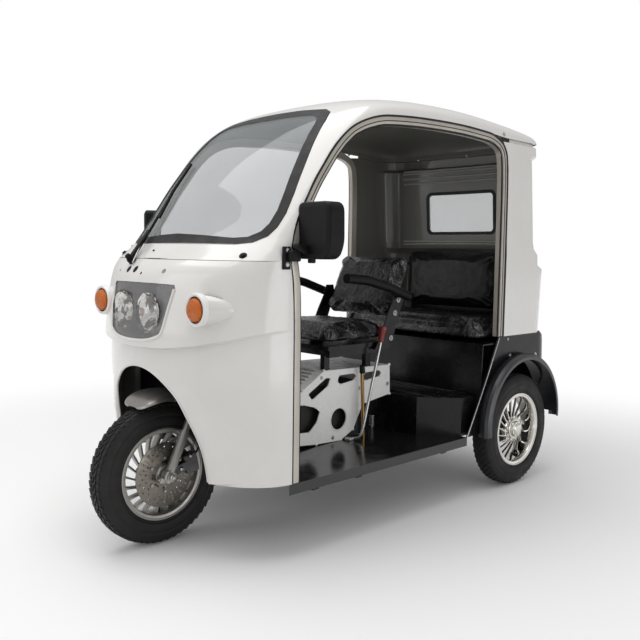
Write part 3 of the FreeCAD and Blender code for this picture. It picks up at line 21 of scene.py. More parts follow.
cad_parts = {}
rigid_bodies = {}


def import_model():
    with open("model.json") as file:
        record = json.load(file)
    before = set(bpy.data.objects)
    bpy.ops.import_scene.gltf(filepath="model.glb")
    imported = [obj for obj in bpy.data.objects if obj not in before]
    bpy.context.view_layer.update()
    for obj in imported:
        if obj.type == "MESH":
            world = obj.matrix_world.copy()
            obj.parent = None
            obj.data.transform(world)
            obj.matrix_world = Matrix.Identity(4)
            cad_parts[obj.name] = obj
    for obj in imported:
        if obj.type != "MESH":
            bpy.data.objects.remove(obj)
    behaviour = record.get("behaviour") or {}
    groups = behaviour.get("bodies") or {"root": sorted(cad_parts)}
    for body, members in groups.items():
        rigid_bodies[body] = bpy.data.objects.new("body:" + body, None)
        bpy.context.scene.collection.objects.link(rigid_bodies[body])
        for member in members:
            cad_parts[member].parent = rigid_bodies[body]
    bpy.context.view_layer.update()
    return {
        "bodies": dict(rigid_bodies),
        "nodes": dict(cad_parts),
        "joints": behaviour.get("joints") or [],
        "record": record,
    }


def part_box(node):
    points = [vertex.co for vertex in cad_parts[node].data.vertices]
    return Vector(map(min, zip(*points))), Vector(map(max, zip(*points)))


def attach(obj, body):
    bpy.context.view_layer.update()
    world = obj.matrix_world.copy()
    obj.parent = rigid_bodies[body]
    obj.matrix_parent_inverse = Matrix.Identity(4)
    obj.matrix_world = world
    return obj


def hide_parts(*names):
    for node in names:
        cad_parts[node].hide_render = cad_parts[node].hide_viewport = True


log = logging.getLogger("cab")

Mesh = bpy.types.Object
Socket = bpy.types.NodeSocket
Point = tuple[float, float, float]
Route = tuple[Point, ...]
Pairs = Sequence[tuple[float, float]]
ScrewRow = tuple[str, tuple[float, ...], float, float, float, float]

FRONT_AXLE_Y = -0.826
SEAT_LEAN = 24.0
CABIN_MIDDLE = (0.0, 0.05, 1.05)
GRAIN_SCALE = 600.0
FULL_TURN = 2 * math.pi
CORNERS = ((1, 1, 0), (-1, 1, 90), (-1, -1, 180), (1, -1, 270))


# Places


def spot(x: float, station: float, height: float) -> Vector:
    """Point in metres from a place in millimetres."""
    return Vector((x / 1000, station / 1000 + FRONT_AXLE_Y, height / 1000))


def spots(places: Sequence[Point]) -> list[Vector]:
    """Points in metres from places in millimetres."""
    return [spot(*place) for place in places]


def symmetric(left: Sequence[tuple[float, ...]]) -> list[tuple[float, ...]]:
    """Line from the left, over its last place in the middle, to the right."""
    return [*left, *((-x, *rest) for x, *rest in reversed(left[:-1]))]


def headings(line: Sequence[tuple[float, ...]]) -> list[Vector]:
    """Unit direction of a flat line at each point, taken from its two neighbours."""
    ends = [line[0], *line, line[-1]]
    return [Vector((b[0] - a[0], b[1] - a[1])).normalized() for a, b in zip(ends, ends[2:])]


def rounded(half_width: float, half_length: float, corner: float, steps: int) -> list[tuple[float, float]]:
    """Rectangle with round corners.

    Args:
        half_width: Half its width.
        half_length: Half its length.
        corner: Radius of its corners.
        steps: Steps of each corner.

    Returns:
        Its outline's points in order.
    """
    points = []
    for side_x, side_y, start in CORNERS:
        for k in range(steps + 1):
            angle = math.radians(start + 90 / steps * k)
            x = side_x * (half_width - corner) + corner * math.cos(angle)
            points.append((x, side_y * (half_length - corner) + corner * math.sin(angle)))
    return points


def nearest(node: Mesh, place: Vector, lift: float = 0.0) -> tuple[Vector, Vector]:
    """Nearest point of a node's surface.

    Args:
        node: The CAD node.
        place: Point near its surface.
        lift: Distance that the result stands off the surface.

    Returns:
        The point and the surface's normal there.
    """
    found, point, normal, _index = node.closest_point_on_mesh(place)
    if not found:
        raise ValueError(f"no surface near {tuple(place)}")
    if normal.dot(place - point) < 0:
        normal = -normal
    return point + normal * lift, normal


# Editing


def clear_selection() -> None:
    """Leave nothing selected and nothing active."""
    bpy.ops.object.select_all(action="DESELECT")
    bpy.context.view_layer.objects.active = None


def choose(piece: Mesh) -> Mesh:
    """Make one piece the only selected and active object.

    Args:
        piece: The object to select.

    Returns:
        The same object.
    """
    clear_selection()
    piece.select_set(True)
    bpy.context.view_layer.objects.active = piece
    return piece


@contextmanager
def editing(piece: Mesh, mode: str = "FACE", action: str = "SELECT") -> Iterator[None]:
    """Edit mode on one piece.

    Args:
        piece: The mesh object to edit.
        mode: Select mode, VERT, EDGE or FACE.
        action: SELECT to start with all of it selected, DESELECT with nothing.
    """
    choose(piece)
    bpy.ops.object.mode_set(mode="EDIT")
    bpy.ops.mesh.select_mode(type=mode)
    bpy.ops.mesh.select_all(action=action)
    yield
    bpy.ops.object.mode_set(mode="OBJECT")


def face_outwards() -> None:
    """Select all of the edited mesh and turn its faces outwards."""
    bpy.ops.mesh.select_all(action="SELECT")
    bpy.ops.mesh.normals_make_consistent(inside=False)


def extrude(way: Sequence[float]) -> None:
    """Extrude what is selected and turn the whole mesh outwards."""
    bpy.ops.mesh.extrude_region_move(TRANSFORM_OT_translate={"value": tuple(way)})
    face_outwards()


def settle(piece: Mesh) -> Mesh:
    """Put a piece's place into its mesh, so that its object sits at the origin.

    Args:
        piece: The object to settle.

    Returns:
        The same object.
    """
    choose(piece)
    bpy.ops.object.transform_apply(location=True, rotation=True, scale=True)
    return piece


def named(name: str) -> Mesh:
    """Name the active object and its mesh.

    Args:
        name: The name.

    Returns:
        The active object.
    """
    piece = bpy.context.object
    piece.name = piece.data.name = name
    return piece


def smooth(piece: Mesh, angle: float = 35) -> Mesh:
    """Shade a piece smooth, apart from its sharp edges.

    Args:
        piece: The mesh object.
        angle: Smallest angle, in degrees, that stays sharp.

    Returns:
        The same object.
    """
    choose(piece)
    bpy.ops.object.shade_smooth_by_angle(angle=math.radians(angle))
    return piece


def modify(piece: Mesh, kind: str, **values: object) -> Mesh:
    """Add a modifier and apply it.

    Args:
        piece: The mesh object.
        kind: The modifier's type.
        **values: Its properties.

    Returns:
        The same object.
    """
    choose(piece)
    modifier = piece.modifiers.new(kind, kind)
    for key, value in values.items():
        setattr(modifier, key, value)
    bpy.ops.object.modifier_apply(modifier=modifier.name)
    return piece


def ease(piece: Mesh, width: float, segments: int = 2, angle: float = 35) -> Mesh:
    """Round a piece's sharp edges and shade it smooth.

    Args:
        piece: The mesh object.
        width: Width of the rounding.
        segments: Segments of each rounding.
        angle: Smallest angle, in degrees, that counts as an edge.

    Returns:
        The same object.
    """
    limit = math.radians(angle)
    return smooth(modify(piece, "BEVEL", width=width, segments=segments, limit_method="ANGLE", angle_limit=limit))


def carve(piece: Mesh, tool: Mesh) -> None:
    """Cut one piece out of another and delete the cutter.

    Args:
        piece: The piece that is cut.
        tool: The cutter.
    """
    modify(piece, "BOOLEAN", operation="DIFFERENCE", solver="EXACT", object=tool)
    bpy.data.objects.remove(tool)


def join(name: str, parts: Sequence[Mesh]) -> Mesh:
    """Join several meshes into one piece.

    Args:
        name: Name of the joined piece.
        parts: The meshes to join.

    Returns:
        The joined object.
    """
    choose(parts[0])
    for part in parts[1:]:
        part.select_set(True)
    if len(parts) > 1:
        bpy.ops.object.join()
    return named(name)


def both(piece: Mesh) -> Mesh:
    """Add a piece's mirror image to it.

    Args:
        piece: Piece on the vehicle's left.

    Returns:
        One piece with both sides.
    """
    twin = piece.copy()
    twin.data = piece.data.copy()
    bpy.context.scene.collection.objects.link(twin)
    twin.scale = (-1, 1, 1)
    with editing(settle(twin)):
        face_outwards()
    return join(piece.name, [piece, twin])


def around(piece: Mesh, count: int, centre: Vector) -> Mesh:
    """Repeat a piece's mesh around the X direction.

    Args:
        piece: The piece to repeat.
        count: How many there are in a full turn.
        centre: Point on the axis.

    Returns:
        The same object, with every copy in its mesh.
    """
    with editing(piece):
        bpy.ops.mesh.spin(steps=count, angle=FULL_TURN, center=centre, axis=(1, 0, 0), dupli=True)
        bpy.ops.mesh.select_all(action="SELECT")
        bpy.ops.mesh.remove_doubles(threshold=0.00001)
    return piece


# Forms


def box(name: str, centre: Vector, size: Sequence[float], width: float = 0.0, segments: int = 2,
        turn: Sequence[float] = (0, 0, 0)) -> Mesh:
    """Add a block, its size and place in its mesh.

    Args:
        name: Name of the piece.
        centre: Middle of the block.
        size: Full lengths along its axes.
        width: Width of the rounding of its edges.
        segments: Segments of the rounding.
        turn: Euler angles in degrees.

    Returns:
        The new object.
    """
    clear_selection()
    bpy.ops.mesh.primitive_cube_add(size=1, location=centre, rotation=[math.radians(a) for a in turn])
    piece = named(name)
    piece.scale = size
    settle(piece)
    return ease(piece, width, segments) if width else piece


def drum(name: str, centre: Vector, radius: float, depth: float, sides: int, axis: Sequence[float] = (1, 0, 0),
         tip: float = 0.0, width: float = 0.0, segments: int = 2) -> Mesh:
    """Add a cylinder or a cone frustum along an axis.

    Args:
        name: Name of the piece.
        centre: Middle of the piece.
        radius: Radius at the start of the axis.
        depth: Length along the axis.
        sides: Number of sides.
        axis: Direction of the piece.
        tip: Radius at the end of the axis, or 0 for the same radius.
        width: Width of the rounding of its edges.
        segments: Segments of the rounding.

    Returns:
        The new object.
    """
    clear_selection()
    turn = Vector(axis).to_track_quat("Z", "Y").to_euler()
    bpy.ops.mesh.primitive_cone_add(
        vertices=sides, radius1=radius, radius2=tip or radius, depth=depth, location=centre, rotation=turn)
    piece = settle(named(name))
    return ease(piece, width, segments) if width else piece


def ball(name: str, centre: Vector, radius: float, rings: int, size: Sequence[float] = (1, 1, 1)) -> Mesh:
    """Add a smooth, stretched sphere.

    Args:
        name: Name of the piece.
        centre: Middle of the sphere.
        radius: Radius before stretching.
        rings: Number of rings; there are twice as many segments.
        size: Stretch along each axis.

    Returns:
        The new object.
    """
    clear_selection()
    bpy.ops.mesh.primitive_uv_sphere_add(segments=2 * rings, ring_count=rings, radius=radius, location=centre)
    piece = named(name)
    piece.scale = size
    return smooth(settle(piece))


def outline(name: str, points: Sequence[Vector], closed: bool = True) -> Mesh:
    """Add a flat face, or an open line, through points.

    Args:
        name: Name of the piece.
        points: Corners in order.
        closed: Whether to fill a face between them.

    Returns:
        The new object.
    """
    clear_selection()
    bpy.ops.mesh.primitive_circle_add(vertices=len(points), fill_type="NGON" if closed else "NOTHING")
    piece = named(name)
    for vertex, place in zip(piece.data.vertices, points):
        vertex.co = place
    if not closed:
        with editing(piece, "EDGE", "DESELECT"):
            mesh = bmesh.from_edit_mesh(piece.data)
            for edge in mesh.edges:
                edge.select_set({vertex.index for vertex in edge.verts} == {0, len(points) - 1})
            bpy.ops.mesh.delete(type="EDGE")
    return choose(piece)


def sheet(name: str, rows: Sequence[Sequence[Vector]], wall: float = 0.0, levels: int = 0) -> Mesh:
    """Add a curved sheet through rows of points.

    Args:
        name: Name of the piece.
        rows: Rows of points, all of one length.
        wall: Thickness given to the sheet.
        levels: Subdivision levels before the thickness.

    Returns:
        The new object.
    """
    clear_selection()
    bpy.ops.mesh.primitive_grid_add(x_subdivisions=len(rows[0]) - 1, y_subdivisions=len(rows) - 1)
    piece = named(name)
    for vertex, place in zip(piece.data.vertices, (point for row in rows for point in row)):
        vertex.co = place
    if levels:
        modify(piece, "SUBSURF", levels=levels)
    if wall:
        modify(piece, "SOLIDIFY", thickness=wall, offset=0.0)
    with editing(piece):
        face_outwards()
    return smooth(piece, 50)


def plate(name: str, points: Sequence[Vector], depth: Sequence[float]) -> Mesh:
    """Extrude a flat outline into a plate.

    Args:
        name: Name of the piece.
        points: Corners of one face.
        depth: Move from that face to the other.

    Returns:
        The new object.
    """
    piece = outline(name, points)
    with editing(piece):
        extrude(depth)
    return smooth(piece)


def turned(name: str, profile: Pairs, centre: Vector, steps: int, axis: str = "X") -> Mesh:
    """Spin a profile about an axis.

    Args:
        name: Name of the piece.
        profile: Distance along the axis and radius of each corner.
        centre: Where along and radius are both zero.
        steps: Steps of a full turn.
        axis: Axis of the spin, X, Y or Z.

    Returns:
        The new object.
    """
    along, out = {"X": ((1, 0, 0), (0, 0, 1)), "Y": ((0, 1, 0), (0, 0, 1)), "Z": ((0, 0, 1), (1, 0, 0))}[axis]
    points = [Vector(along) * distance + Vector(out) * radius + centre for distance, radius in profile]
    piece = outline(name, points, closed=False)
    with editing(piece, "VERT"):
        bpy.ops.mesh.spin(steps=steps, angle=FULL_TURN, center=centre, axis=along, dupli=False)
        bpy.ops.mesh.select_all(action="SELECT")
        bpy.ops.mesh.remove_doubles(threshold=0.00002)
        bpy.ops.mesh.normals_make_consistent(inside=False)
    return smooth(piece)


def rod(name: str, route: Sequence[Vector], radius: float, steps: int = 8, sides: int = 4) -> Mesh:
    """Round bar along a smooth route.

    Args:
        name: Name of the piece.
        route: Control points.
        radius: Radius of the bar.
        steps: Steps between control points.
        sides: Resolution of the round section.

    Returns:
        The bar as a mesh.
    """
    curve = bpy.data.curves.new(name, "CURVE")
    curve.dimensions = "3D"
    curve.bevel_depth = radius
    curve.bevel_resolution = sides
    curve.use_fill_caps = True
    line = curve.splines.new("NURBS")
    line.points.add(len(route) - 1)
    for knot, place in zip(line.points, route):
        knot.co = (*place, 1)
    line.order_u = 3
    line.use_endpoint_u = True
    line.resolution_u = steps
    piece = bpy.data.objects.new(name, curve)
    bpy.context.scene.collection.objects.link(piece)
    choose(piece)
    bpy.ops.object.convert(target="MESH")
    return smooth(bpy.context.object, 50)


def hoop(corners: Sequence[Vector], radius: float, rings: int) -> list[Mesh]:
    """Closed loop of straight bars with balls at its corners.

    Args:
        corners: The loop's corners.
        radius: Radius of bars and balls.
        rings: Rings of each ball.

    Returns:
        The bars and balls.
    """
    parts = []
    for start, end in zip(corners, [*corners[1:], corners[0]]):
        parts += [rod("Edge", [start, end], radius, 1), ball("Corner", start, radius, rings)]
    return parts


def screw(place: Vector, facing: Vector, radius: float, washer: float, sides: int = 24) -> Mesh:
    """Domed or six-sided screw head, with a washer under it where it has one.

    Args:
        place: Foot of the head.
        facing: Direction that the head faces.
        radius: Radius of the head.
        washer: Radius of the washer, or 0 for none.
        sides: 6 for a hexagon, more for a round head.

    Returns:
        The head as one piece.
    """
    foot = place + facing * 0.45 * radius
    parts = [drum("Head", foot, radius, 0.9 * radius, sides, facing, 0.8 * radius, 0.22 * radius)]
    if washer:
        parts.append(drum("Washer", place + facing * 0.0008, washer, 0.002, 24, facing, width=0.0006, segments=1))
    return join("Screw", parts)


# Finishes


class Slot(Enum):
    """Material slots of the record."""

    WHITE_PAINT = "white_paint"
    SATIN_BLACK = "satin_black"
    BLACK_PLASTIC = "black_plastic"
    WHITE_PLASTIC = "white_plastic"
    DOOR_CHANNEL = "door_channel"
    BLACK_RUBBER = "black_rubber"
    BLACK_VINYL = "black_vinyl"
    TINTED_GLASS = "tinted_glass"
    CLEAR_LENS = "clear_lens"
    AMBER_LENS = "amber_lens"
    RED_LENS = "red_lens"
    LAMP_CHROME = "lamp_chrome"
    CHROME = "chrome"
    SILVER_PAINT = "silver_paint"
    CAST_ALUMINIUM = "cast_aluminium"
    CAST_IRON = "cast_iron"
    STEEL = "steel"
    TYRE = "tyre"


class Wiring:
    """Node tree with short calls to add and feed its nodes."""

    def __init__(self, tree: bpy.types.NodeTree) -> None:
        """Take over a tree and empty it."""
        self.tree = tree
        tree.nodes.clear()

    def put(self, end: Socket, value: object) -> None:
        """Link a socket to an input, or set the input's own value."""
        if isinstance(value, Socket):
            self.tree.links.new(value, end)
        else:
            end.default_value = value

    def add(self, kind: str, inputs: dict[str | int, object] | None = None, **values: object) -> bpy.types.Node:
        """Add a node.

        Args:
            kind: Node type, without its first word.
            inputs: Sockets or values of its inputs, by name or number.
            **values: Properties to set first.

        Returns:
            The new node.
        """
        node = self.tree.nodes.new(f"ShaderNode{kind}")
        for key, value in values.items():
            setattr(node, key, value)
        for key, value in (inputs or {}).items():
            self.put(node.inputs[key], value)
        return node

    def sums(self, operation: str, first: Socket, second: Socket | float) -> Socket:
        """Result of a Math node on two values."""
        return self.add("Math", {0: first, 1: second}, operation=operation).outputs[0]


class Paintwork(Wiring):
    """Node tree of one material."""

    def __init__(self, name: str) -> None:
        """Make an empty material with a shader on its output.

        Args:
            name: Name of the material.
        """
        self.material = bpy.data.materials.new(name)
        self.material.use_nodes = True
        super().__init__(self.material.node_tree)
        self.shader = self.add("BsdfPrincipled")
        self.output = self.add("OutputMaterial", {"Surface": self.shader.outputs["BSDF"]})
        self.place = self.add("TexCoord")
        self.here = self.place.outputs["Object"]

    def set(self, **values: object) -> None:
        """Feed shader inputs by name, an underscore standing for a space."""
        for key, value in values.items():
            self.put(self.shader.inputs[key.replace("_", " ")], value)

    def fed(self, name: str) -> Socket:
        """Socket that feeds a shader input."""
        return self.shader.inputs[name].links[0].from_socket

    def noise(self, scale: float, detail: float = 4, stretch: Point = (1, 1, 1), rough: float = 0.55) -> Socket:
        """Noise over the piece's own coordinates.

        Args:
            scale: Noise scale per metre.
            detail: Octaves.
            stretch: Scale along each axis.
            rough: Roughness of the octaves.

        Returns:
            The factor socket.
        """
        place = self.here
        if stretch != (1, 1, 1):
            place = self.add("Mapping", {"Scale": stretch, "Vector": self.here}).outputs["Vector"]
        inputs = {"Scale": scale, "Detail": detail, "Roughness": rough, "Vector": place}
        return self.add("TexNoise", inputs).outputs["Fac"]

    def ramp(self, source: Socket, low: float, high: float, start: float, end: float) -> Socket:
        """Map a factor between two limits onto two values.

        Args:
            source: The factor.
            low: Factor at the start.
            high: Factor at the end.
            start: Value at the start.
            end: Value at the end.

        Returns:
            The mapped value.
        """
        inputs = {"Value": source, "From Min": low, "From Max": high, "To Min": start, "To Max": end}
        return self.add("MapRange", inputs).outputs["Result"]

    def blend(self, factor: Socket, first: Point | Socket, second: Point | Socket) -> Socket:
        """Mix two colours by a factor.

        Args:
            factor: Share of the second colour.
            first: Colour or socket at factor 0.
            second: Colour or socket at factor 1.

        Returns:
            The mixed colour.
        """
        start, end = (side if isinstance(side, Socket) else (*side, 1) for side in (first, second))
        return self.add("Mix", {"Factor": factor, 6: start, 7: end}, data_type="RGBA").outputs[2]

    def bump(self, height: Socket, strength: float, distance: float, after: Socket | None = None) -> Socket:
        """Bump from a height.

        Args:
            height: Height factor.
            strength: Strength of the bump.
            distance: Real depth in metres.
            after: Normal that this bump adds to.

        Returns:
            The normal.
        """
        inputs = {"Strength": strength, "Distance": distance, "Height": height}
        if after is not None:
            inputs["Normal"] = after
        return self.add("Bump", inputs).outputs["Normal"]


@dataclass(frozen=True)
class Finish:
    """Plain surface with two close tones, uneven gloss and, where it has one, a fine grain."""

    name: str
    slot: Slot
    colour: Point
    second: Point
    roughness: float = 0.5
    spread: float = 0.1
    metallic: float = 0.0
    tone_scale: float = 6.0
    grain_depth: float = 0.0
    coat: float = 0.0
    specular: float = 0.5

    def build(self) -> bpy.types.Material:
        """Make the material.

        Returns:
            The new material.
        """
        paint = Paintwork(self.name)
        tone = paint.ramp(paint.noise(self.tone_scale, 5), 0.35, 0.65, 0, 1)
        low, high = max(self.roughness - self.spread, 0.03), self.roughness + self.spread
        gloss = paint.ramp(paint.noise(4 * self.tone_scale, 6), 0.3, 0.7, low, high)
        paint.set(Base_Color=paint.blend(tone, self.colour, self.second), Roughness=gloss, Metallic=self.metallic,
                  Coat_Weight=self.coat, Coat_Roughness=0.08, Specular_IOR_Level=self.specular)
        if self.grain_depth:
            paint.set(Normal=paint.bump(paint.noise(GRAIN_SCALE, 3), 1.0, self.grain_depth))
        self.detail(paint)
        return paint.material

    def detail(self, paint: Paintwork) -> None:
        """Add what a special finish has beyond the plain one."""


@dataclass(frozen=True)
class ShellPaint(Finish):
    """Gloss paint outside and a matt lining inside, told apart by which way the surface faces."""

    lining: Point = (0.17, 0.167, 0.15)

    def detail(self, paint: Paintwork) -> None:
        """Split the two sides by the normal against the direction from the cabin's middle."""
        away = paint.add("VectorMath", {0: paint.here, 1: CABIN_MIDDLE}, operation="SUBTRACT")
        ways = {0: away.outputs["Vector"], 1: paint.place.outputs["Normal"]}
        facing = paint.add("VectorMath", ways, operation="DOT_PRODUCT")
        inside = paint.sums("LESS_THAN", facing.outputs["Value"], 0.0)
        lining = paint.blend(paint.noise(3.0), self.lining, tuple(0.86 * part for part in self.lining))
        gloss = paint.add("Mix", {"Factor": inside, 2: paint.fed("Roughness"), 3: 0.5}, data_type="FLOAT")
        paint.set(Base_Color=paint.blend(inside, paint.fed("Base Color"), lining), Roughness=gloss.outputs[0],
                  Normal=paint.bump(paint.noise(14, 2), 0.25, 0.0012))


@dataclass(frozen=True)
class Pane(Finish):
    """Tinted pane: see-through with a clear reflection."""

    clearness: float = 0.5

    def detail(self, paint: Paintwork) -> None:
        """Let part of the light straight through."""
        paint.set(Alpha=1 - self.clearness, Specular_IOR_Level=0.8)


@dataclass(frozen=True)
class Lens(Finish):
    """Moulded lens of a lamp, ribbed inside."""

    rib_scale: float = 160.0

    def detail(self, paint: Paintwork) -> None:
        """Add the ribs and let light glow through."""
        inputs = {"Scale": self.rib_scale, "Vector": paint.here}
        ribs = paint.add("TexWave", inputs, wave_type="BANDS", bands_direction="X")
        paint.set(Transmission_Weight=0.55, IOR=1.45, Normal=paint.bump(ribs.outputs["Fac"], 0.4, 0.001))


@dataclass(frozen=True)
class Vinyl(Finish):
    """Black vinyl with leather grain and soft wrinkles."""

    def detail(self, paint: Paintwork) -> None:
        """Add the grain and the wrinkles."""
        cells = paint.add("TexVoronoi", {"Scale": 500, "Vector": paint.here}, feature="DISTANCE_TO_EDGE")
        grain = paint.bump(cells.outputs["Distance"], 0.5, 0.0004)
        paint.set(Normal=paint.bump(paint.noise(22, 5, (1, 1, 2.4), 0.6), 0.7, 0.006, grain))


@dataclass(frozen=True)
class Reflector(Finish):
    """Bright facets with painted reflections: dim and brownish blotches painted into their colour."""

    painted_dark_reflection: Point = (0.035, 0.032, 0.03)
    warm: Point = (0.20, 0.13, 0.09)

    def detail(self, paint: Paintwork) -> None:
        """Add the painted reflections as dim and brownish blotches in the base colour."""
        # Painted reflections: dim blotches mixed into the base colour, brownish ones over them.
        painted_reflection_patches = paint.ramp(paint.noise(30, 2, (1, 1, 0.55)), 0.53, 0.57, 0.0, 0.9)
        warm = paint.ramp(paint.noise(44, 1, (1.2, 1, 0.8)), 0.60, 0.64, 0.0, 0.8)
        mixed = paint.blend(painted_reflection_patches, paint.fed("Base Color"), self.painted_dark_reflection)
        paint.set(Base_Color=paint.blend(warm, mixed, self.warm))


@dataclass(frozen=True)
class WrappedVinyl(Finish):
    """Black vinyl under a crinkled clear film, whose creases' highlights are painted as pale lines in its colour."""

    # Colour of the painted highlights on the creases.
    painted_crease_highlight: Point = (0.62, 0.63, 0.66)

    def crease(self, paint: Paintwork, scale: float, width: float, stretch: Point) -> Socket:
        """Thin branching lines where a noise passes its middle.

        Args:
            paint: The material's node tree.
            scale: Noise scale per metre.
            width: Half width of a line in noise values.
            stretch: Scale along each axis.

        Returns:
            The lines, 1 at their middle.
        """
        field_value = paint.noise(scale, 4, stretch, 0.62)
        field_value.node.inputs["Distortion"].default_value = 1.2
        away = paint.sums("ABSOLUTE", paint.sums("SUBTRACT", field_value, 0.5), 0.0)
        return paint.ramp(away, 0.0, width, 1.0, 0.0)

    def detail(self, paint: Paintwork) -> None:
        """Add the creases' painted highlights as pale lines, their bump, and the film's folds."""
        large = self.crease(paint, 9, 0.011, (1, 1, 0.45))
        small = self.crease(paint, 24, 0.016, (1.6, 1, 0.5))
        painted_reflection_patches = paint.ramp(paint.noise(7, 2), 0.44, 0.62, 0.04, 1.0)
        lines = paint.sums("MULTIPLY", paint.sums("MAXIMUM", large, paint.sums("MULTIPLY", small, 0.7)), painted_reflection_patches)
        # Painted highlights: the crease lines, faded by blotches, mix the base colour towards a pale colour.
        shade = paint.sums("MULTIPLY", lines, 0.75)
        paint.set(Base_Color=paint.blend(shade, paint.fed("Base Color"), self.painted_crease_highlight),
                  Coat_Normal=paint.bump(paint.noise(15, 4, (1.4, 1, 0.5)), 1.0, 0.014),
                  Normal=paint.bump(lines, 0.6, 0.003))


WHITE = ShellPaint("WhiteGlossPaint", Slot.WHITE_PAINT, (0.81, 0.795, 0.77), (0.78, 0.765, 0.74), 0.2, 0.05, coat=0.6)
SATIN_BLACK = Finish("BlackEnamel", Slot.SATIN_BLACK, (0.0045, 0.0045, 0.005), (0.009, 0.009, 0.010), 0.24, 0.08,
                     specular=0.3)
GLOSS_BLACK = Finish("BlackGlossTrim", Slot.SATIN_BLACK, (0.01, 0.01, 0.011), (0.014, 0.014, 0.015), 0.16, 0.05,
                     specular=0.7)
FENDER = Finish("FenderPlastic", Slot.BLACK_PLASTIC, (0.012, 0.013, 0.016), (0.018, 0.019, 0.023), 0.34, 0.06,
                specular=0.8)
BLACK_PLASTIC = Finish("BlackMoulding", Slot.BLACK_PLASTIC, (0.005, 0.005, 0.0052), (0.009, 0.009, 0.0095), 0.42,
                       grain_depth=0.0002, specular=0.15)
WHITE_PLASTIC = Finish("WhiteMoulding", Slot.WHITE_PLASTIC, (0.92, 0.92, 0.91), (0.87, 0.87, 0.86), 0.3, 0.08)
PALE_PLASTIC = Finish("PaleGreyMoulding", Slot.WHITE_PLASTIC, (0.62, 0.62, 0.61), (0.55, 0.55, 0.54), 0.4, 0.08)
CHANNEL = Finish("DoorChannelMetal", Slot.DOOR_CHANNEL, (0.56, 0.52, 0.46), (0.47, 0.435, 0.385), 0.36, 0.1, 0.3)
LINING = Finish("CabLining", Slot.DOOR_CHANNEL, (0.46, 0.46, 0.41), (0.39, 0.39, 0.345))
RUBBER = Finish("BlackRubber", Slot.BLACK_RUBBER, (0.004, 0.004, 0.004), (0.008, 0.008, 0.008), grain_depth=0.0001,
                specular=0.35)
VINYL = Vinyl("BlackVinyl", Slot.BLACK_VINYL, (0.006, 0.006, 0.0065), (0.012, 0.012, 0.013), 0.38, 0.08, specular=0.45)
WRAPPED = WrappedVinyl("FilmWrappedVinyl", Slot.BLACK_VINYL, (0.0035, 0.0037, 0.0042), (0.008, 0.0085, 0.010), 0.32,
                       0.08, coat=0.35, specular=0.35)
GLASS = Pane("TintedPane", Slot.TINTED_GLASS, (0.30, 0.325, 0.335), (0.26, 0.285, 0.295), 0.05, 0.01, clearness=0.55)
BACK_GLASS = Pane("RearPane", Slot.TINTED_GLASS, (0.62, 0.66, 0.68), (0.58, 0.62, 0.64), 0.05, 0.01, clearness=0.6)
CLEAR = Pane("ClearLens", Slot.CLEAR_LENS, (0.9, 0.9, 0.9), (0.9, 0.9, 0.9), 0.04, 0.01, clearness=0.9)
AMBER = Lens("AmberLens", Slot.AMBER_LENS, (1.0, 0.33, 0.035), (0.85, 0.22, 0.015), 0.15, 0.05)
RED = Lens("RedLens", Slot.RED_LENS, (0.6, 0.01, 0.01), (0.5, 0.01, 0.01), 0.15, 0.05)
RED_GRIP = Finish("RedGrip", Slot.RED_LENS, (0.20, 0.018, 0.014), (0.13, 0.012, 0.010), 0.3, 0.08)
BEZEL = Finish("LampBezel", Slot.LAMP_CHROME, (0.045, 0.045, 0.048), (0.025, 0.025, 0.027), 0.2, 0.08, 0.4)
# Reflector bowls; their colour carries painted reflections.
REFLECTOR = Reflector("LampReflector", Slot.LAMP_CHROME, (0.80, 0.80, 0.80), (0.52, 0.49, 0.46), 0.06, 0.03, 1.0, 24)
CHROME = Finish("WheelChrome", Slot.CHROME, (0.80, 0.78, 0.74), (0.70, 0.68, 0.64), 0.12, 0.05, 1.0)
SILVER = Finish("SilverPaint", Slot.SILVER_PAINT, (0.40, 0.385, 0.36), (0.33, 0.32, 0.30), 0.34, 0.08, 0.75)
CAST = Finish("CastAluminium", Slot.CAST_ALUMINIUM, (0.16, 0.16, 0.16), (0.10, 0.10, 0.10), 0.5, 0.12, 0.6,
              grain_depth=0.0003)
IRON = Finish("CastIron", Slot.CAST_IRON, (0.03, 0.03, 0.031), (0.055, 0.053, 0.05), 0.6, 0.12, 0.4,
              grain_depth=0.0004)
STEEL = Finish("BareSteel", Slot.STEEL, (0.5, 0.5, 0.5), (0.42, 0.42, 0.42), 0.3, 0.1, 1.0)
BRASS = Finish("BrassRod", Slot.STEEL, (0.42, 0.27, 0.10), (0.33, 0.20, 0.08), 0.3, 0.1, 1.0)
MIRROR_GLASS = Finish("MirrorGlass", Slot.LAMP_CHROME, (0.85, 0.86, 0.86), (0.83, 0.84, 0.84), 0.04, 0.01, 1.0)
DISC_STEEL = Finish("DiscSteel", Slot.STEEL, (0.25, 0.225, 0.195), (0.18, 0.165, 0.145), 0.36, 0.1, 0.85)
TREAD = Finish("TyreRubber", Slot.TYRE, (0.006, 0.006, 0.006), (0.014, 0.0135, 0.013), 0.6, 0.12,
               grain_depth=0.0002, specular=0.35)


class Wardrobe:
    """Built materials by finish, and what puts them on pieces."""

    def __init__(self) -> None:
        """Start with no material built."""
        self.built: dict[str, bpy.types.Material] = {}

    def dress(self, piece: Mesh, finish: Finish, body: str | None = None) -> Mesh:
        """Give a piece its finish and, where it is new and body.

        Args:
            piece: The piece to dress.
            finish: Its finish.
            body: Body that it rides on, or None for a CAD node.

        Returns:
            The same piece.
        """
        if finish.name not in self.built:
            self.built[finish.name] = finish.build()
        piece.data.materials.clear()
        piece.data.materials.append(self.built[finish.name])
        if body is not None:
            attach(piece, body)
            log.info("%s rides on %s", piece.name, body)
        return piece


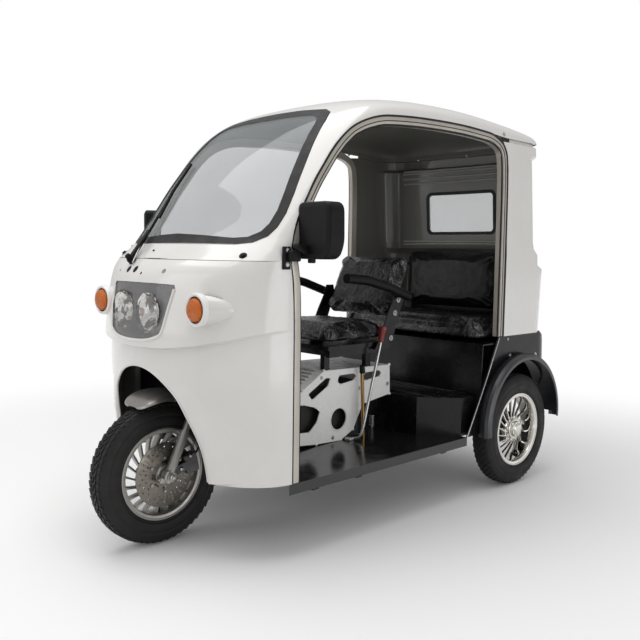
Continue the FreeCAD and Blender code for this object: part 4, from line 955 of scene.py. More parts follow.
@dataclass
class Assembly:
    """Sub-assembly, with the built finishes and the CAD nodes by name."""

    wardrobe: Wardrobe
    nodes: dict[str, Mesh]

    def add(self, piece: Mesh, finish: Finish, body: str = "chassis", node: str = "") -> Mesh:
        """Dress a new piece.

        Args:
            piece: The piece.
            finish: Its finish.
            body: Body that it rides on.
            node: CAD node that it stands for, where there is one.

        Returns:
            The same piece.
        """
        self.wardrobe.dress(piece, finish, body)
        if node:
            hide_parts(node)
        return piece

    def on(self, node: str, place: Point, lift: float = 0.0) -> tuple[Vector, Vector]:
        """Nearest point of a node to a place in millimetres, and the surface's normal there."""
        return nearest(self.nodes[node], spot(*place), lift)

    def limits(self, node: str) -> tuple[Vector, Vector]:
        """Lowest and highest corner of a CAD node, in metres."""
        low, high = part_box(node)
        return Vector(low), Vector(high)

    def bead(self, name: str, node: str, places: Sequence[Point], lift: float, radius: float, steps: int,
             sides: int) -> Mesh:
        """Bar that follows a node's surface, as rod makes it."""
        return rod(name, [self.on(node, place, lift)[0] for place in places], radius, steps, sides)


# Seats


@dataclass
class Pad:
    """Padded seat part, puffed up by a cloth simulation inside its CAD pad's space."""

    name: str
    node: str
    size: Point
    place: Matrix
    finish: Finish
    swell: float
    voxel: float
    crumple: float
    fill: float = 0.8
    corner: float = 0.045

    def make(self) -> Mesh:
        """Shape, puff up and crumple the pad.

        Returns:
            The pad in its place.
        """
        pad = self.shape()
        self.puff(pad)
        modify(pad, "SUBSURF", levels=1)
        for name, scale, depth in (("Folds", 0.055, self.crumple), ("Creases", 0.018, 0.4 * self.crumple)):
            pattern = bpy.data.textures.new(name, "CLOUDS")
            pattern.noise_scale = scale
            pattern.noise_depth = 3
            modify(pad, "DISPLACE", texture=pattern, texture_coords="LOCAL", strength=depth, mid_level=0.62)
        smooth(pad, 60)
        pad.matrix_world = self.place
        return settle(pad)

    def shape(self) -> Mesh:
        """Slightly smaller block with wide rounded edges.

        Returns:
            The block, centred on the origin.
        """
        width, length, height = [0.5 * (size - 1.3 * self.swell) for size in self.size]
        corners = [Vector((x, y, -height)) for x, y in rounded(width, length, self.corner, 6)]
        pad = plate(self.name, corners, (0, 0, 2 * height))
        choose(ease(pad, 0.20 * min(self.size), 4))
        pad.data.remesh_voxel_size = self.voxel
        bpy.ops.object.voxel_remesh()
        return pad

    def puff(self, pad: Mesh) -> None:
        """Blow the pad up, its underside held, and cap how far it swells.

        Args:
            pad: The remeshed block.
        """
        start = [vertex.co.copy() for vertex in pad.data.vertices]
        low = min(point.z for point in start)
        held = pad.vertex_groups.new(name="Held")
        held.add([index for index, point in enumerate(start) if point.z < low + 0.012], 1.0, "REPLACE")
        cloth = pad.modifiers.new("Cloth", "CLOTH")
        cloth.settings.use_pressure = True
        cloth.settings.uniform_pressure_force = 4
        cloth.settings.quality = 4
        cloth.settings.vertex_group_mass = "Held"
        cloth.settings.effector_weights.gravity = 0
        for frame in range(1, 21):
            bpy.context.scene.frame_set(frame)
        choose(pad)
        bpy.ops.object.modifier_apply(modifier="Cloth")
        bpy.context.scene.frame_set(1)
        limits = [0.5 * length for length in self.size]
        for vertex, before in zip(pad.data.vertices, start):
            step = vertex.co - before
            if step.length > self.swell:
                step *= self.swell / step.length
            vertex.co = [max(-limit, min(limit, value)) for value, limit in zip(before + step, limits)]
        pad.vertex_groups.clear()


@dataclass
class Seats(Assembly):
    """The bench's and the driver's pads."""

    bench: Point = (0, 1538.5, 702.8)
    bench_back: Point = (0, 1705, 908.1)
    seat: Point = (0, 820, 710)
    hinge: Point = (0, 984, 773)
    back_offset: Point = (0, 0.035, 0.150)

    def build(self) -> None:
        """Make the pads."""
        at = Matrix.Translation
        upright = Matrix.Rotation(math.radians(90), 4, "X")
        lean = Matrix.Rotation(math.radians(-SEAT_LEAN), 4, "X")
        back = at(spot(*self.hinge)) @ lean @ at(self.back_offset) @ upright
        for pad in (
            Pad("BenchCushion", "bench_cushion", (0.860, 0.413, 0.105), at(spot(*self.bench)), WRAPPED, 0.024, 0.0075,
                0.006),
            Pad("BenchBack", "bench_backrest", (0.580, 0.305, 0.076), at(spot(*self.bench_back)) @ upright, VINYL,
                0.020, 0.0065, 0.005),
            Pad("DriverCushion", "seat_cushion", (0.410, 0.360, 0.090), at(spot(*self.seat)), WRAPPED, 0.022, 0.006,
                0.006),
            Pad("DriverBack", "seat_backrest", (0.410, 0.300, 0.070), back, WRAPPED, 0.020, 0.006, 0.006),
        ):
            self.add(pad.make(), pad.finish, node=pad.node)


# Lamps


@dataclass
class Headlamp(Assembly):
    """Reflector bowls, bulbs and the moulded lip round the lamp."""

    rim: Point = (79, -84, 827)
    radius: float = 0.0685
    depth: float = 0.044
    throat: float = 0.013
    facets: int = 18
    lip: Pairs = ((200, 922), (196, 880), (183, 830), (171, 780), (160, 757), (130, 744), (90, 735), (45, 731),
                  (0, 730))

    def build(self) -> None:
        """Make the lamp's inner pieces and its lip."""
        self.add(both(self.bowl()), REFLECTOR)
        back = spot(*self.rim) + Vector((0, self.depth - 0.004, 0))
        holder = drum("Holder", back, 0.0128, 0.014, 24, (0, -1, 0), 0.010, 0.001)
        shield = ball("Shield", back - Vector((0, 0.028, 0)), 0.0095, 10, (1, 0.8, 1))
        self.add(both(join("LampHolders", [holder, shield])), STEEL)
        self.add(both(ball("LampBulbs", back - Vector((0, 0.014, 0)), 0.0085, 12, (1, 1.5, 1))), CLEAR)
        places = [(x, -104, z) for x, z in symmetric(self.lip)]
        self.add(self.bead("LampLip", "front_fairing", places, -0.001, 0.0062, 6, 5), WHITE)

    def bowl(self) -> Mesh:
        """Faceted bowl with a rolled rim.

        Returns:
            The left bowl.
        """
        reach, depth, radius = self.radius - self.throat, self.depth, self.radius
        profile = [(-depth * (k / 5) ** 2, self.throat + reach * k / 5) for k in range(6)]
        profile += [(-depth - 0.002, radius + 0.0004), (-depth + 0.002, radius + 0.0006), (0.002, 0.020),
                    (0.002, self.throat), profile[0]]
        bowl = turned("LampBowls", profile, spot(*self.rim) + Vector((0, depth, 0)), self.facets, "Y")
        choose(bowl)
        bpy.ops.object.shade_flat()
        return bowl


@dataclass
class TurnSignals(Assembly):
    """Flared rings, seals and mottled domes of the turn signals."""

    centre: Point = (300, -40, 847)
    ring: Pairs = ((-0.001, 0.0385), (-0.005, 0.0405), (-0.0085, 0.0455), (-0.0095, 0.0500), (-0.0075, 0.0535),
                   (-0.002, 0.0550), (0.008, 0.0545), (0.020, 0.0510), (0.028, 0.0470), (0.016, 0.0420),
                   (0.0, 0.0385), (-0.001, 0.0385))
    seal: Pairs = ((-0.0045, 0.0400), (-0.0085, 0.0418), (-0.0070, 0.0440), (-0.0030, 0.0430), (-0.0045, 0.0400))

    def build(self) -> None:
        """Make the rings, domes and seals."""
        centre = spot(*self.centre)
        self.add(both(smooth(turned("SignalRings", self.ring, centre, 64, "Y"), 60)), WHITE_PLASTIC)
        angles = [math.radians(15 * k) for k in range(1, 6)]
        dome = [(0.002, 0.0395), (-0.004, 0.0398), (-0.010, 0.0380)]
        dome += [(-0.010 - 0.0175 * math.sin(angle), 0.0380 * math.cos(angle)) for angle in angles]
        dome += [(-0.0275, 0.0001), (-0.022, 0.0001), (0.002, 0.030), (0.002, 0.0395)]
        lens = modify(turned("SignalDomes", dome, centre, 48, "Y"), "SUBSURF", levels=1)
        pattern = bpy.data.textures.new("Mottle", "CLOUDS")
        pattern.noise_scale = 0.004
        modify(lens, "DISPLACE", texture=pattern, strength=0.0016)
        self.add(both(smooth(lens, 60)), AMBER, node="front_turn_signals")
        self.add(both(turned("SignalSeals", self.seal, centre, 48, "Y")), BLACK_PLASTIC)


# Shell and doors


@dataclass
class ShellTrim(Assembly):
    """Screws, seams, ribs, edge beads and painted crease shade of the white shell.

    A row of screws gives their node, places across, station, height, radius and washer radius.
    """

    cowl_screws: tuple[ScrewRow, ...] = (
        ("front_fairing", (-186,), -33, 960, 0.0065, 0.0),
        ("front_fairing", (-8,), -55, 955, 0.0065, 0.0),
        ("upper_shell", (-60,), 28, 1032, 0.0045, 0.0),
        ("upper_shell", (371, -371), 89, 1021, 0.0085, 0.0135),
    )
    body_screws: tuple[ScrewRow, ...] = (
        ("front_fairing", (115,), -42, 965, 0.0065, 0.00975),
        ("upper_shell", (462, -462), 1426, 1547, 0.0060, 0.009),
        ("rear_shell", (-274, 23, 274), 1740, 1522, 0.0055, 0.00825),
        ("upper_shell", (-448,), 1423, 1532, 0.0055, 0.00825),
        ("lower_body", (470,), 1500, 662, 0.0045, 0.00675),
        ("lower_body", (470, -470), 1523, 587, 0.0060, 0.009),
        ("lower_body", (470, -470), 1736, 576, 0.0060, 0.009),
    )
    seam: Pairs = ((462, 206), (440, 150), (400, 100), (340, 58), (260, 26), (160, 4), (60, -7), (0, -9))
    ribs: Pairs = ((1392, 340), (1418, 345), (1444, 345), (1470, 340), (1092, 350), (1064, 350))
    arch: Pairs = ((279, 268), (276, 300), (270, 350), (262, 395), (248, 440), (228, 486), (200, 546), (158, 583),
                   (112, 612), (60, 632), (0, 640))
    flank: Pairs = ((158, 583), (178, 567), (200, 546), (215, 514), (228, 486), (239, 460), (248, 440), (256, 415),
                    (262, 395), (267, 370), (271, 345), (275, 315), (278, 290), (279, 272))
    hollow: Pairs = ((1.0, -1.5), (1.5, 5), (4, 9), (12, 11.5), (26, 12.5), (40, 11.5), (54, 7.5), (68, 3.2),
                     (82, 1.0), (96, -0.2), (108, -1.5))

    def build(self) -> None:
        """Make the trim."""
        for name, heads, finish in (("CowlScrews", self.cowl_screws, BLACK_PLASTIC),
                                    ("BodyScrews", self.body_screws, STEEL)):
            screws = [screw(*self.on(node, (x, y, z)), radius, washer)
                      for node, across, y, z, radius, washer in heads for x in across]
            self.add(join(name, screws), finish)
        places = [(x, y, 1003.4) for x, y in symmetric(self.seam)]
        self.add(self.bead("CowlSeam", "upper_shell", places, -0.0012, 0.0016, 8, 3), RUBBER)
        ribs = []
        for height, half in self.ribs:
            places = [(half * k / 6, 1690, height) for k in range(-6, 7)]
            ribs.append(self.bead("Rib", "rear_shell", places, 0.0025, 0.0042, 6, 3))
        self.add(join("LiningRibs", ribs), LINING)
        places = [(x, -75 + 0.0006 * x * x, z) for x, z in symmetric(self.arch)]
        self.add(self.bead("ArchEdge", "front_fairing", places, -0.0012, 0.0048, 8, 5), WHITE)
        # Painted shade: thin pale grey lines on the rear shell stand for the shade in its side creases.
        places = [(475, 1582, z) for z in (1330, 1260, 1190, 1120)]
        self.add(both(self.bead("RearCreaseShades", "rear_shell", places, -0.0008, 0.0010, 6, 2)), PALE_PLASTIC)
        self.add(both(self.flare()), WHITE)

    def flare(self) -> Mesh:
        """Shallow hollow beside the front wheel arch, with its soft shoulder.

        Returns:
            The left hollow as a thin skin on the fairing.
        """
        rows = []
        for k, ((x, z), along) in enumerate(zip(self.flank, headings(self.flank))):
            strength = min(1.0, k / 6)
            rows.append([])
            for away, lift in self.hollow:
                side, height = x - along.y * away, z + along.x * away * 0.6
                start = spot(side, -400, max(height, 267))
                found, point, normal, _index = self.nodes["front_fairing"].ray_cast(start, Vector((0, 1, 0)))
                if not found:
                    point, normal = self.on("front_fairing", (side, -60, height))
                if normal.y > 0:
                    normal = -normal
                rows[-1].append(point + normal * 0.001 * (lift * strength - 1.2 * (1 - strength)))
        return smooth(sheet("ArchFlares", rows, 0.0012, 1), 60)


@dataclass
class DoorTrim(Assembly):
    """Rubber weatherstrips, black rods as painted groove shade, and metal bands along both door openings."""

    line: Route = (
        (226, 266, 466), (226, 520, 466), (226, 760, 466), (222, 930, 466), (208, 1005, 466), (212, 1030, 463),
        (220, 1060, 459), (234, 1105, 454), (262, 1160, 448), (300, 1218, 443), (338, 1278, 440), (378, 1330, 438),
        (420, 1386, 438), (462, 1432, 439), (512, 1474, 441), (575, 1505, 444), (655, 1529, 449), (745, 1538, 453),
        (860, 1545, 457), (1000, 1549, 459), (1140, 1550, 460), (1270, 1545, 460), (1352, 1540, 460),
        (1429, 1509, 461), (1460, 1454, 462), (1467, 1325, 463), (1467, 1095, 464), (1467, 880, 465), (1467, 678, 465),
    )
    band: Pairs = ((4.5, -9), (6, -3.2), (9, -2.0), (19, -1.6), (29, -2.0), (32, -3.2), (33.5, -9))

    def build(self) -> None:
        """Make the strips."""
        outer = rod("DoorSeals", self.offset(2, -4), 0.0048, 6)
        inner = rod("DoorSeal", self.offset(36, -9), 0.0036, 6, 3)
        self.add(both(join("DoorSeals", [outer, inner])), RUBBER)
        # Painted shade: a black rubber rod on the band stands for the groove's shade.
        self.add(both(rod("DoorGrooveShades", self.offset(21, -1.4)[9:], 0.0017, 6, 2)), RUBBER)
        band = sheet("DoorBeads", [self.offset(inset, aside) for inset, aside in self.band])
        with editing(band):
            bpy.ops.mesh.solidify(thickness=0.002)
            bpy.ops.mesh.normals_make_consistent(inside=False)
        self.add(both(smooth(band, 40)), CHANNEL)

    def offset(self, inset: float, aside: float) -> list[Vector]:
        """Points along the opening, moved into it.

        Args:
            inset: Distance from the opening's outer line, in millimetres.
            aside: Distance out of the body's side, in millimetres.

        Returns:
            The points.
        """
        return [spot(x + aside, y + inset * along.y, z - inset * along.x)
                for (y, z, x), along in zip(self.line, headings(self.line))]


@dataclass
class Mirrors(Assembly):
    """Cases, arms, glass, gaskets and bolts of the two door mirrors.

    A side gives its sign, its name, the turn of its glass in degrees and its hinge's place across.
    """

    sides: tuple[tuple[int, str, float, float], ...] = ((1, "Left", -3, 486), (-1, "Right", -32, -493))
    hinge_station: float = 282
    middle_height: float = 1104
    half_width: float = 0.065
    half_height: float = 0.078
    corner: float = 0.016
    case: Route = ((84, 93, 36), (-78, 93, 26), (-85, -92, 22), (64, -92, 30), (87, -40, 24))

    def build(self) -> None:
        """Make both mirrors, in place of their plain cases."""
        for side, name, turn, pivot in self.sides:
            facing = Vector((-math.sin(math.radians(turn)), math.cos(math.radians(turn)), 0))
            across = Vector((facing.y, -facing.x, 0))
            middle = spot(pivot, self.hinge_station, self.middle_height) + across * side * 0.031
            case = [self.shell(middle - facing * 0.020, facing, across * side), *self.arm(side)]
            self.add(join(f"Mirror{name}Case", case), BLACK_PLASTIC, node=f"mirror_{name.lower()}")
            back = middle + facing * 0.0394
            for part, grow, depth, finish in (("Gasket", 0.004, 0.0016, RUBBER), ("Glass", 0.0, 0.0028, MIRROR_GLASS)):
                edge = rounded(self.half_width + grow, self.half_height + grow, self.corner, 5)
                corners = [back + across * x + Vector((0, 0, z)) for x, z in edge]
                pane = plate(f"Mirror{name}{part}", corners, facing * depth)
                self.add(ease(pane, 0.0004, 1), finish)
            outwards = Vector((side, 0, 0))
            bolts = [screw(spot(side * 470.6, 191, z), outwards, 0.0052, 0.0078) for z in (1040, 994)]
            self.add(join(f"Mirror{name}Bolts", bolts), STEEL)

    def shell(self, front: Vector, facing: Vector, across: Vector) -> Mesh:
        """Rounded case of one mirror.

        Args:
            front: Middle of the case's front face.
            facing: Direction that the glass faces.
            across: Direction away from the vehicle along the glass.

        Returns:
            The case.
        """
        points = []
        for k, (x, z, radius) in enumerate(self.case):
            here = Vector((x, z))
            start, end = (here + (Vector(other[:2]) - here).normalized() * radius
                          for other in (self.case[k - 1], self.case[(k + 1) % len(self.case)]))
            for step in range(6):
                part = step / 5
                place = start * (1 - part) ** 2 + here * 2 * part * (1 - part) + end * part**2
                points.append(front + across * 0.001 * place.x + Vector((0, 0, 0.001 * place.y)))
        case = plate("Case", points, facing * 0.060)
        with editing(case, action="DESELECT"):
            mesh = bmesh.from_edit_mesh(case.data)
            for face in mesh.faces:
                face.select_set(face.normal.dot(-facing) > 0.98)
            mesh.select_flush_mode()
            bmesh.update_edit_mesh(case.data)
            bpy.ops.mesh.inset(thickness=0.016, depth=0.007)
        return smooth(ease(case, 0.006, 4, 28), 40)

    def arm(self, side: int) -> list[Mesh]:
        """Bracket, clamp and arm of one mirror.

        Args:
            side: 1 for the left, -1 for the right.

        Returns:
            The parts.
        """
        return [box("Flange", spot(side * 465, 191, 1015), (0.012, 0.030, 0.074), 0.003),
                box("Clamp", spot(side * 483, 208, 1022), (0.030, 0.040, 0.036), 0.006, 3),
                box("Arm", spot(side * 487, 248, 1044), (0.030, 0.080, 0.026), 0.007, 3, (-9, 0, 0)),
                drum("Neck", spot(side * 487, self.hinge_station, 1016), 0.013, 0.034, 28, (0, 0, 1), width=0.003)]


@dataclass
class WiperGear(Assembly):
    """Pivot housings, arm spine and strut of the wiper."""

    pivots: Route = ((-111, -42, 966), (-60, -46, 967))
    spine: Route = ((-126, -28, 1006), (-160, 30, 1052), (-216, 101, 1103))
    strut: Route = ((-100, -34, 990), (-130, 0, 1020), (-190, 66, 1078))
    cap: Point = (-126, -36, 1010)

    def build(self) -> None:
        """Make the wiper's small parts."""
        parts = []
        for place in self.pivots:
            point, normal = self.on("front_fairing", place)
            parts.append(drum("PivotBlock", point + normal * 0.008, 0.0135, 0.018, 20, normal, 0.0115, 0.002))
        parts.append(drum("PivotCap", spot(*self.cap), 0.012, 0.018, 24, (0, -0.7, 0.7), 0.009, 0.002))
        parts.append(rod("ArmSpine", spots(self.spine), 0.0078))
        self.add(join("WiperPivots", parts), BLACK_PLASTIC)
        self.add(rod("WiperStrut", spots(self.strut), 0.0026, 8, 3), STEEL)


# Cabin


@dataclass
class EngineCover(Assembly):
    """Rolled edges, vent grille, ribs and screws of the white engine cover."""

    edges: Pairs = ((430, 430), (505, 283), (640, 270), (779, 268), (850, 300), (905, 400), (1078, 424), (1073, 552),
                    (676, 563), (560, 495))
    slots: tuple[Pairs, ...] = (
        ((590, 478), (612, 452), (700, 500), (712, 528), (690, 534)),
        ((752, 512), (768, 498), (850, 508), (862, 524), (850, 536), (762, 536)),
        ((905, 508), (918, 498), (1010, 508), (1018, 520), (1008, 534), (915, 532)),
        ((520, 330), (600, 325), (640, 360), (655, 400), (630, 420), (560, 440), (490, 430), (480, 380)),
    )
    ring: Pairs = ((-0.001, 0.0436), (0.0022, 0.0445), (0.0030, 0.0475), (0.0015, 0.0505), (-0.001, 0.0510),
                   (-0.001, 0.0436))
    screws: Pairs = ((662, 536), (530, 300), (730, 284), (885, 470), (1060, 470), (460, 425))
    half: float = 150
    vent: tuple[float, float] = (762, 356)
    vent_radius: float = 0.0436
    mesh_pitch: float = 0.0075

    def build(self) -> None:
        """Make the cover's details."""
        parts = hoop([spot(self.half - 3, *place) for place in self.edges], 0.0065, 8)
        for slot in self.slots:
            parts += hoop([spot(self.half - 0.8, *place) for place in slot], 0.0042, 6)
        parts.append(turned("VentRing", self.ring, spot(self.half, *self.vent), 48))
        self.add(both(join("CoverEdges", parts)), WHITE_PLASTIC)
        middle, wires = spot(self.half - 1.8, *self.vent), []
        for k in range(-5, 6):
            off = self.mesh_pitch * k
            half = math.sqrt(self.vent_radius**2 - off**2)
            for low, high in (((0, off, -half), (0, off, half)), ((-0.001, -half, off), (-0.001, half, off))):
                wires.append(rod("Wire", [middle + Vector(low), middle + Vector(high)], 0.0010, 1, 1))
        self.add(both(join("VentMesh", wires)), BLACK_PLASTIC)
        ribs = [box("Rib", spot(0, 578 + 17 * k, 510 + 10.4 * k), (0.22, 0.007, 0.006), 0.0015, 2, (31, 0, 0))
                for k in range(6)]
        self.add(join("CoverRibs", ribs), PALE_PLASTIC)
        heads = [screw(spot(self.half + 0.1, y, z), Vector((1, 0, 0)), 0.0055, 0.0085) for y, z in self.screws]
        self.add(both(join("CoverScrews", heads)), STEEL)


@dataclass
class Levers(Assembly):
    """Hand levers beside the seat and the foot pedal, made anew in place of their plain bars."""

    hand: Route = ((170, 806, 271), (205, 826, 272), (216, 836, 300), (222, 862, 430), (232, 912, 640), (236, 922, 695))
    grip: Pairs = ((-0.032, 0.0068), (-0.032, 0.0115), (-0.029, 0.0135), (-0.018, 0.0130), (0.0, 0.0140),
                   (0.012, 0.0165), (0.024, 0.0185), (0.031, 0.0185), (0.034, 0.0160), (0.035, 0.0001))
    brass: Route = ((180, 880, 266), (180, 874, 400), (182, 866, 500), (184, 862, 545))
    pedal: Route = ((-190, 420, 268), (-190, 392, 300), (-190, 398, 335), (-190, 408, 352))
    foot: Point = (176, 806, 271)
    knob: Point = (184, 862, 556)

    def build(self) -> None:
        """Make the levers and the pedal."""
        foot = box("LeverFoot", spot(*self.foot), (0.030, 0.036, 0.012), 0.002)
        self.add(join("HandLever", [rod("HandLever", spots(self.hand), 0.0062, 10, 5), foot]), STEEL, node="levers")
        grip = turned("LeverGrip", self.grip, Vector((0, 0, 0)), 32, "Z")
        grip.rotation_euler = (math.radians(-10), math.radians(3), 0)
        grip.location = spot(235, 922, 700)
        self.add(smooth(settle(grip), 50), RED_GRIP)
        self.add(rod("BrassLever", spots(self.brass), 0.0075), BRASS)
        knob = drum("BrassLeverKnob", spot(*self.knob), 0.0125, 0.034, 24, (0.02, -0.1, 1), 0.0105, 0.004, 3)
        self.add(knob, BLACK_PLASTIC)
        base = box("PedalBase", spot(-190, 424, 270), (0.050, 0.040, 0.008), 0.0015)
        self.add(join("PedalStem", [rod("PedalStem", spots(self.pedal), 0.008), base]), STEEL)
        pad = [box("PedalPad", spot(-190, 406, 365), (0.060, 0.010, 0.050), 0.003)]
        pad += [box("PadRib", spot(-190, 400.2, 347 + 9 * k), (0.050, 0.003, 0.004), 0.001, 1) for k in range(5)]
        self.add(join("PedalPad", pad), RUBBER)


@dataclass
class FloorAndStep(Assembly):
    """Edge beads of floor and step, and the step's tread ribs."""

    sill: Route = ((464.6, 222, 263), (464.6, 1208, 263))
    hem: Route = ((464.4, 222, 231), (464.4, 1208, 231))
    step_edge: Route = ((-436, 1082, 432), (436, 1082, 432))
    rib: Point = (0.80, 0.008, 0.003)
    rib_stations: Sequence[float] = range(1112, 1293, 30)

    def build(self) -> None:
        """Make the floor's details."""
        beads = [rod("Sill", spots(self.sill), 0.0032, 1), rod("Hem", spots(self.hem), 0.0030, 1)]
        self.add(both(join("SillBeads", beads)), GLOSS_BLACK)
        steps = [box("StepRib", spot(0, y, 435.2), self.rib, 0.0011, 1) for y in self.rib_stations]
        steps.append(rod("StepEdge", spots(self.step_edge), 0.003, 1))
        self.add(join("StepRibs", steps), GLOSS_BLACK)


@dataclass
class LowerBodyTrim(Assembly):
    """Bright edge of the lower body, wheelhouse liners, lamp frames, bracket screws and the step's spring."""

    hub: Point = (505, 1574, 250)
    edge: Route = ((466.5, 1215, 268), (466.5, 1300, 412), (466.5, 1426, 655), (466.5, 1431, 672))
    lamp: Route = ((287, 1886, 537), (383, 1886, 537), (383, 1886, 633), (287, 1886, 633))
    brackets: Pairs = ((1028, 783), (1006, 678), (1048, 838))
    liner_lines: tuple[float, ...] = (0.513, 0.485, 0.440, 0.397)
    arch_radius: float = 0.262
    coil: Point = (72, 1052, 269)

    def build(self) -> None:
        """Make the lower body's trim."""
        self.add(both(rod("BodyEdges", spots(self.edge), 0.0028, 8, 3)), STEEL)
        self.add(both(self.liner()), FENDER)
        self.add(both(join("TailLampFrames", hoop(spots(self.lamp), 0.0065, 8))), BLACK_PLASTIC)
        self.add(self.spring(), STEEL)
        heads = [screw(spot(212.4, y, z), Vector((1, 0, 0)), 0.0075, 0.012, 6) for y, z in self.brackets]
        self.add(both(join("BracketScrews", heads)), STEEL)

    def liner(self) -> Mesh:
        """Black liner inside the fender, from the wheelhouse to the fender's edge.

        Returns:
            The left liner.
        """
        hub, rows = spot(*self.hub), []
        for k in range(41):
            angle = math.radians(-6 + 4.7 * k)
            way = Vector((0, math.cos(angle), math.sin(angle)))
            found, point, _normal, _index = self.nodes["rear_fenders"].ray_cast(hub, way)
            if found and (point - hub).length >= self.arch_radius:
                inside = point - way * 0.0030
                rows.append([Vector((x, inside.y, inside.z)) for x in self.liner_lines])
        return smooth(sheet("FenderLiners", rows, 0.0025, 1), 60)

    def spring(self, turns: int = 5, steps: int = 14) -> Mesh:
        """Short coil spring at the foot of the step.

        Args:
            turns: Turns of the coil.
            steps: Points of each turn.

        Returns:
            The spring.
        """
        (x, y, z), points = self.coil, []
        for k in range(turns * steps + 1):
            angle = FULL_TURN * k / steps
            points.append(spot(x + 11 * math.cos(angle), y + 11 * math.sin(angle), z + 50 * k / (turns * steps)))
        post = drum("Post", spot(x, y, z + 23), 0.0055, 0.060, 20, (0, 0, 1), width=0.001, segments=1)
        return join("StepSpring", [rod("StepSpring", points, 0.0022, 2, 2), post])


@dataclass
class Cockpit(Assembly):
    """Handlebar with its grips, switch pods and brake levers."""

    clamp: Point = (0, 366, 948)
    bends: Route = ((232, 428, 962), (139.2, 388, 968), (51.04, 366, 948))
    bar_radius: float = 0.0112
    grip_length: float = 0.100
    pod: Point = (0.042, 0.042, 0.038)
    pod_inset: float = 0.122
    lever_pivot: Point = (0, -0.030, -0.006)

    def build(self) -> None:
        """Make the driver's controls."""
        route = spots(self.bends)
        route += [Vector((-place.x, place.y, place.z)) for place in reversed(route)]
        bar = rod("Bar", route, self.bar_radius, 10, 5)
        middle = spot(*self.clamp) + Vector((0, 0, 0.004))
        clamp = box("BarClamp", middle, (0.070, 0.050, 0.044), 0.008, 3, (-23, 0, 0))
        self.add(join("Handlebar", [bar, clamp]), BLACK_PLASTIC, "steering", "handlebar")
        grips, pods, levers = [], [], []
        for side in (1, -1):
            outer, inner = route[0].copy(), route[1].copy()
            outer.x, inner.x = side * outer.x, side * inner.x
            way = (outer - inner).normalized()
            grip = self.grip()
            grip.rotation_mode = "QUATERNION"
            grip.rotation_quaternion = Vector((1, 0, 0)).rotation_difference(way)
            grip.location = outer - way * self.grip_length
            grips.append(smooth(settle(grip), 50))
            place = outer - way * self.pod_inset
            pods.append(box("SwitchPod", place, self.pod, 0.009, 3))
            pivot = place + Vector(self.lever_pivot)
            bends = [pivot, pivot + Vector((side * 0.012, -0.030, -0.004)),
                     pivot + way * 0.05 + Vector((0, -0.032, -0.008)),
                     pivot + way * 0.115 + Vector((0, -0.024, -0.012))]
            levers.append(rod("BrakeLever", bends, 0.0046, 8, 3))
        self.add(join("HandlebarGrips", grips), RUBBER, "steering")
        self.add(join("SwitchPods", pods), BLACK_PLASTIC, "steering")
        self.add(join("BrakeLevers", levers), CAST, "steering")

    def grip(self) -> Mesh:
        """Ribbed rubber grip along X.

        Returns:
            The grip, its inner end at the origin.
        """
        profile = [(0.0, 0.0115), (0.0, 0.0165)]
        for k in range(8):
            start = 0.0115 * k
            profile += [(0.006 + start, 0.0168), (0.0095 + start, 0.0154), (0.0125 + start, 0.0154)]
        profile += [(0.101, 0.0170), (0.101, 0.0001)]
        return turned("Grip", profile, Vector((0, 0, 0)), 28)


# Wheels


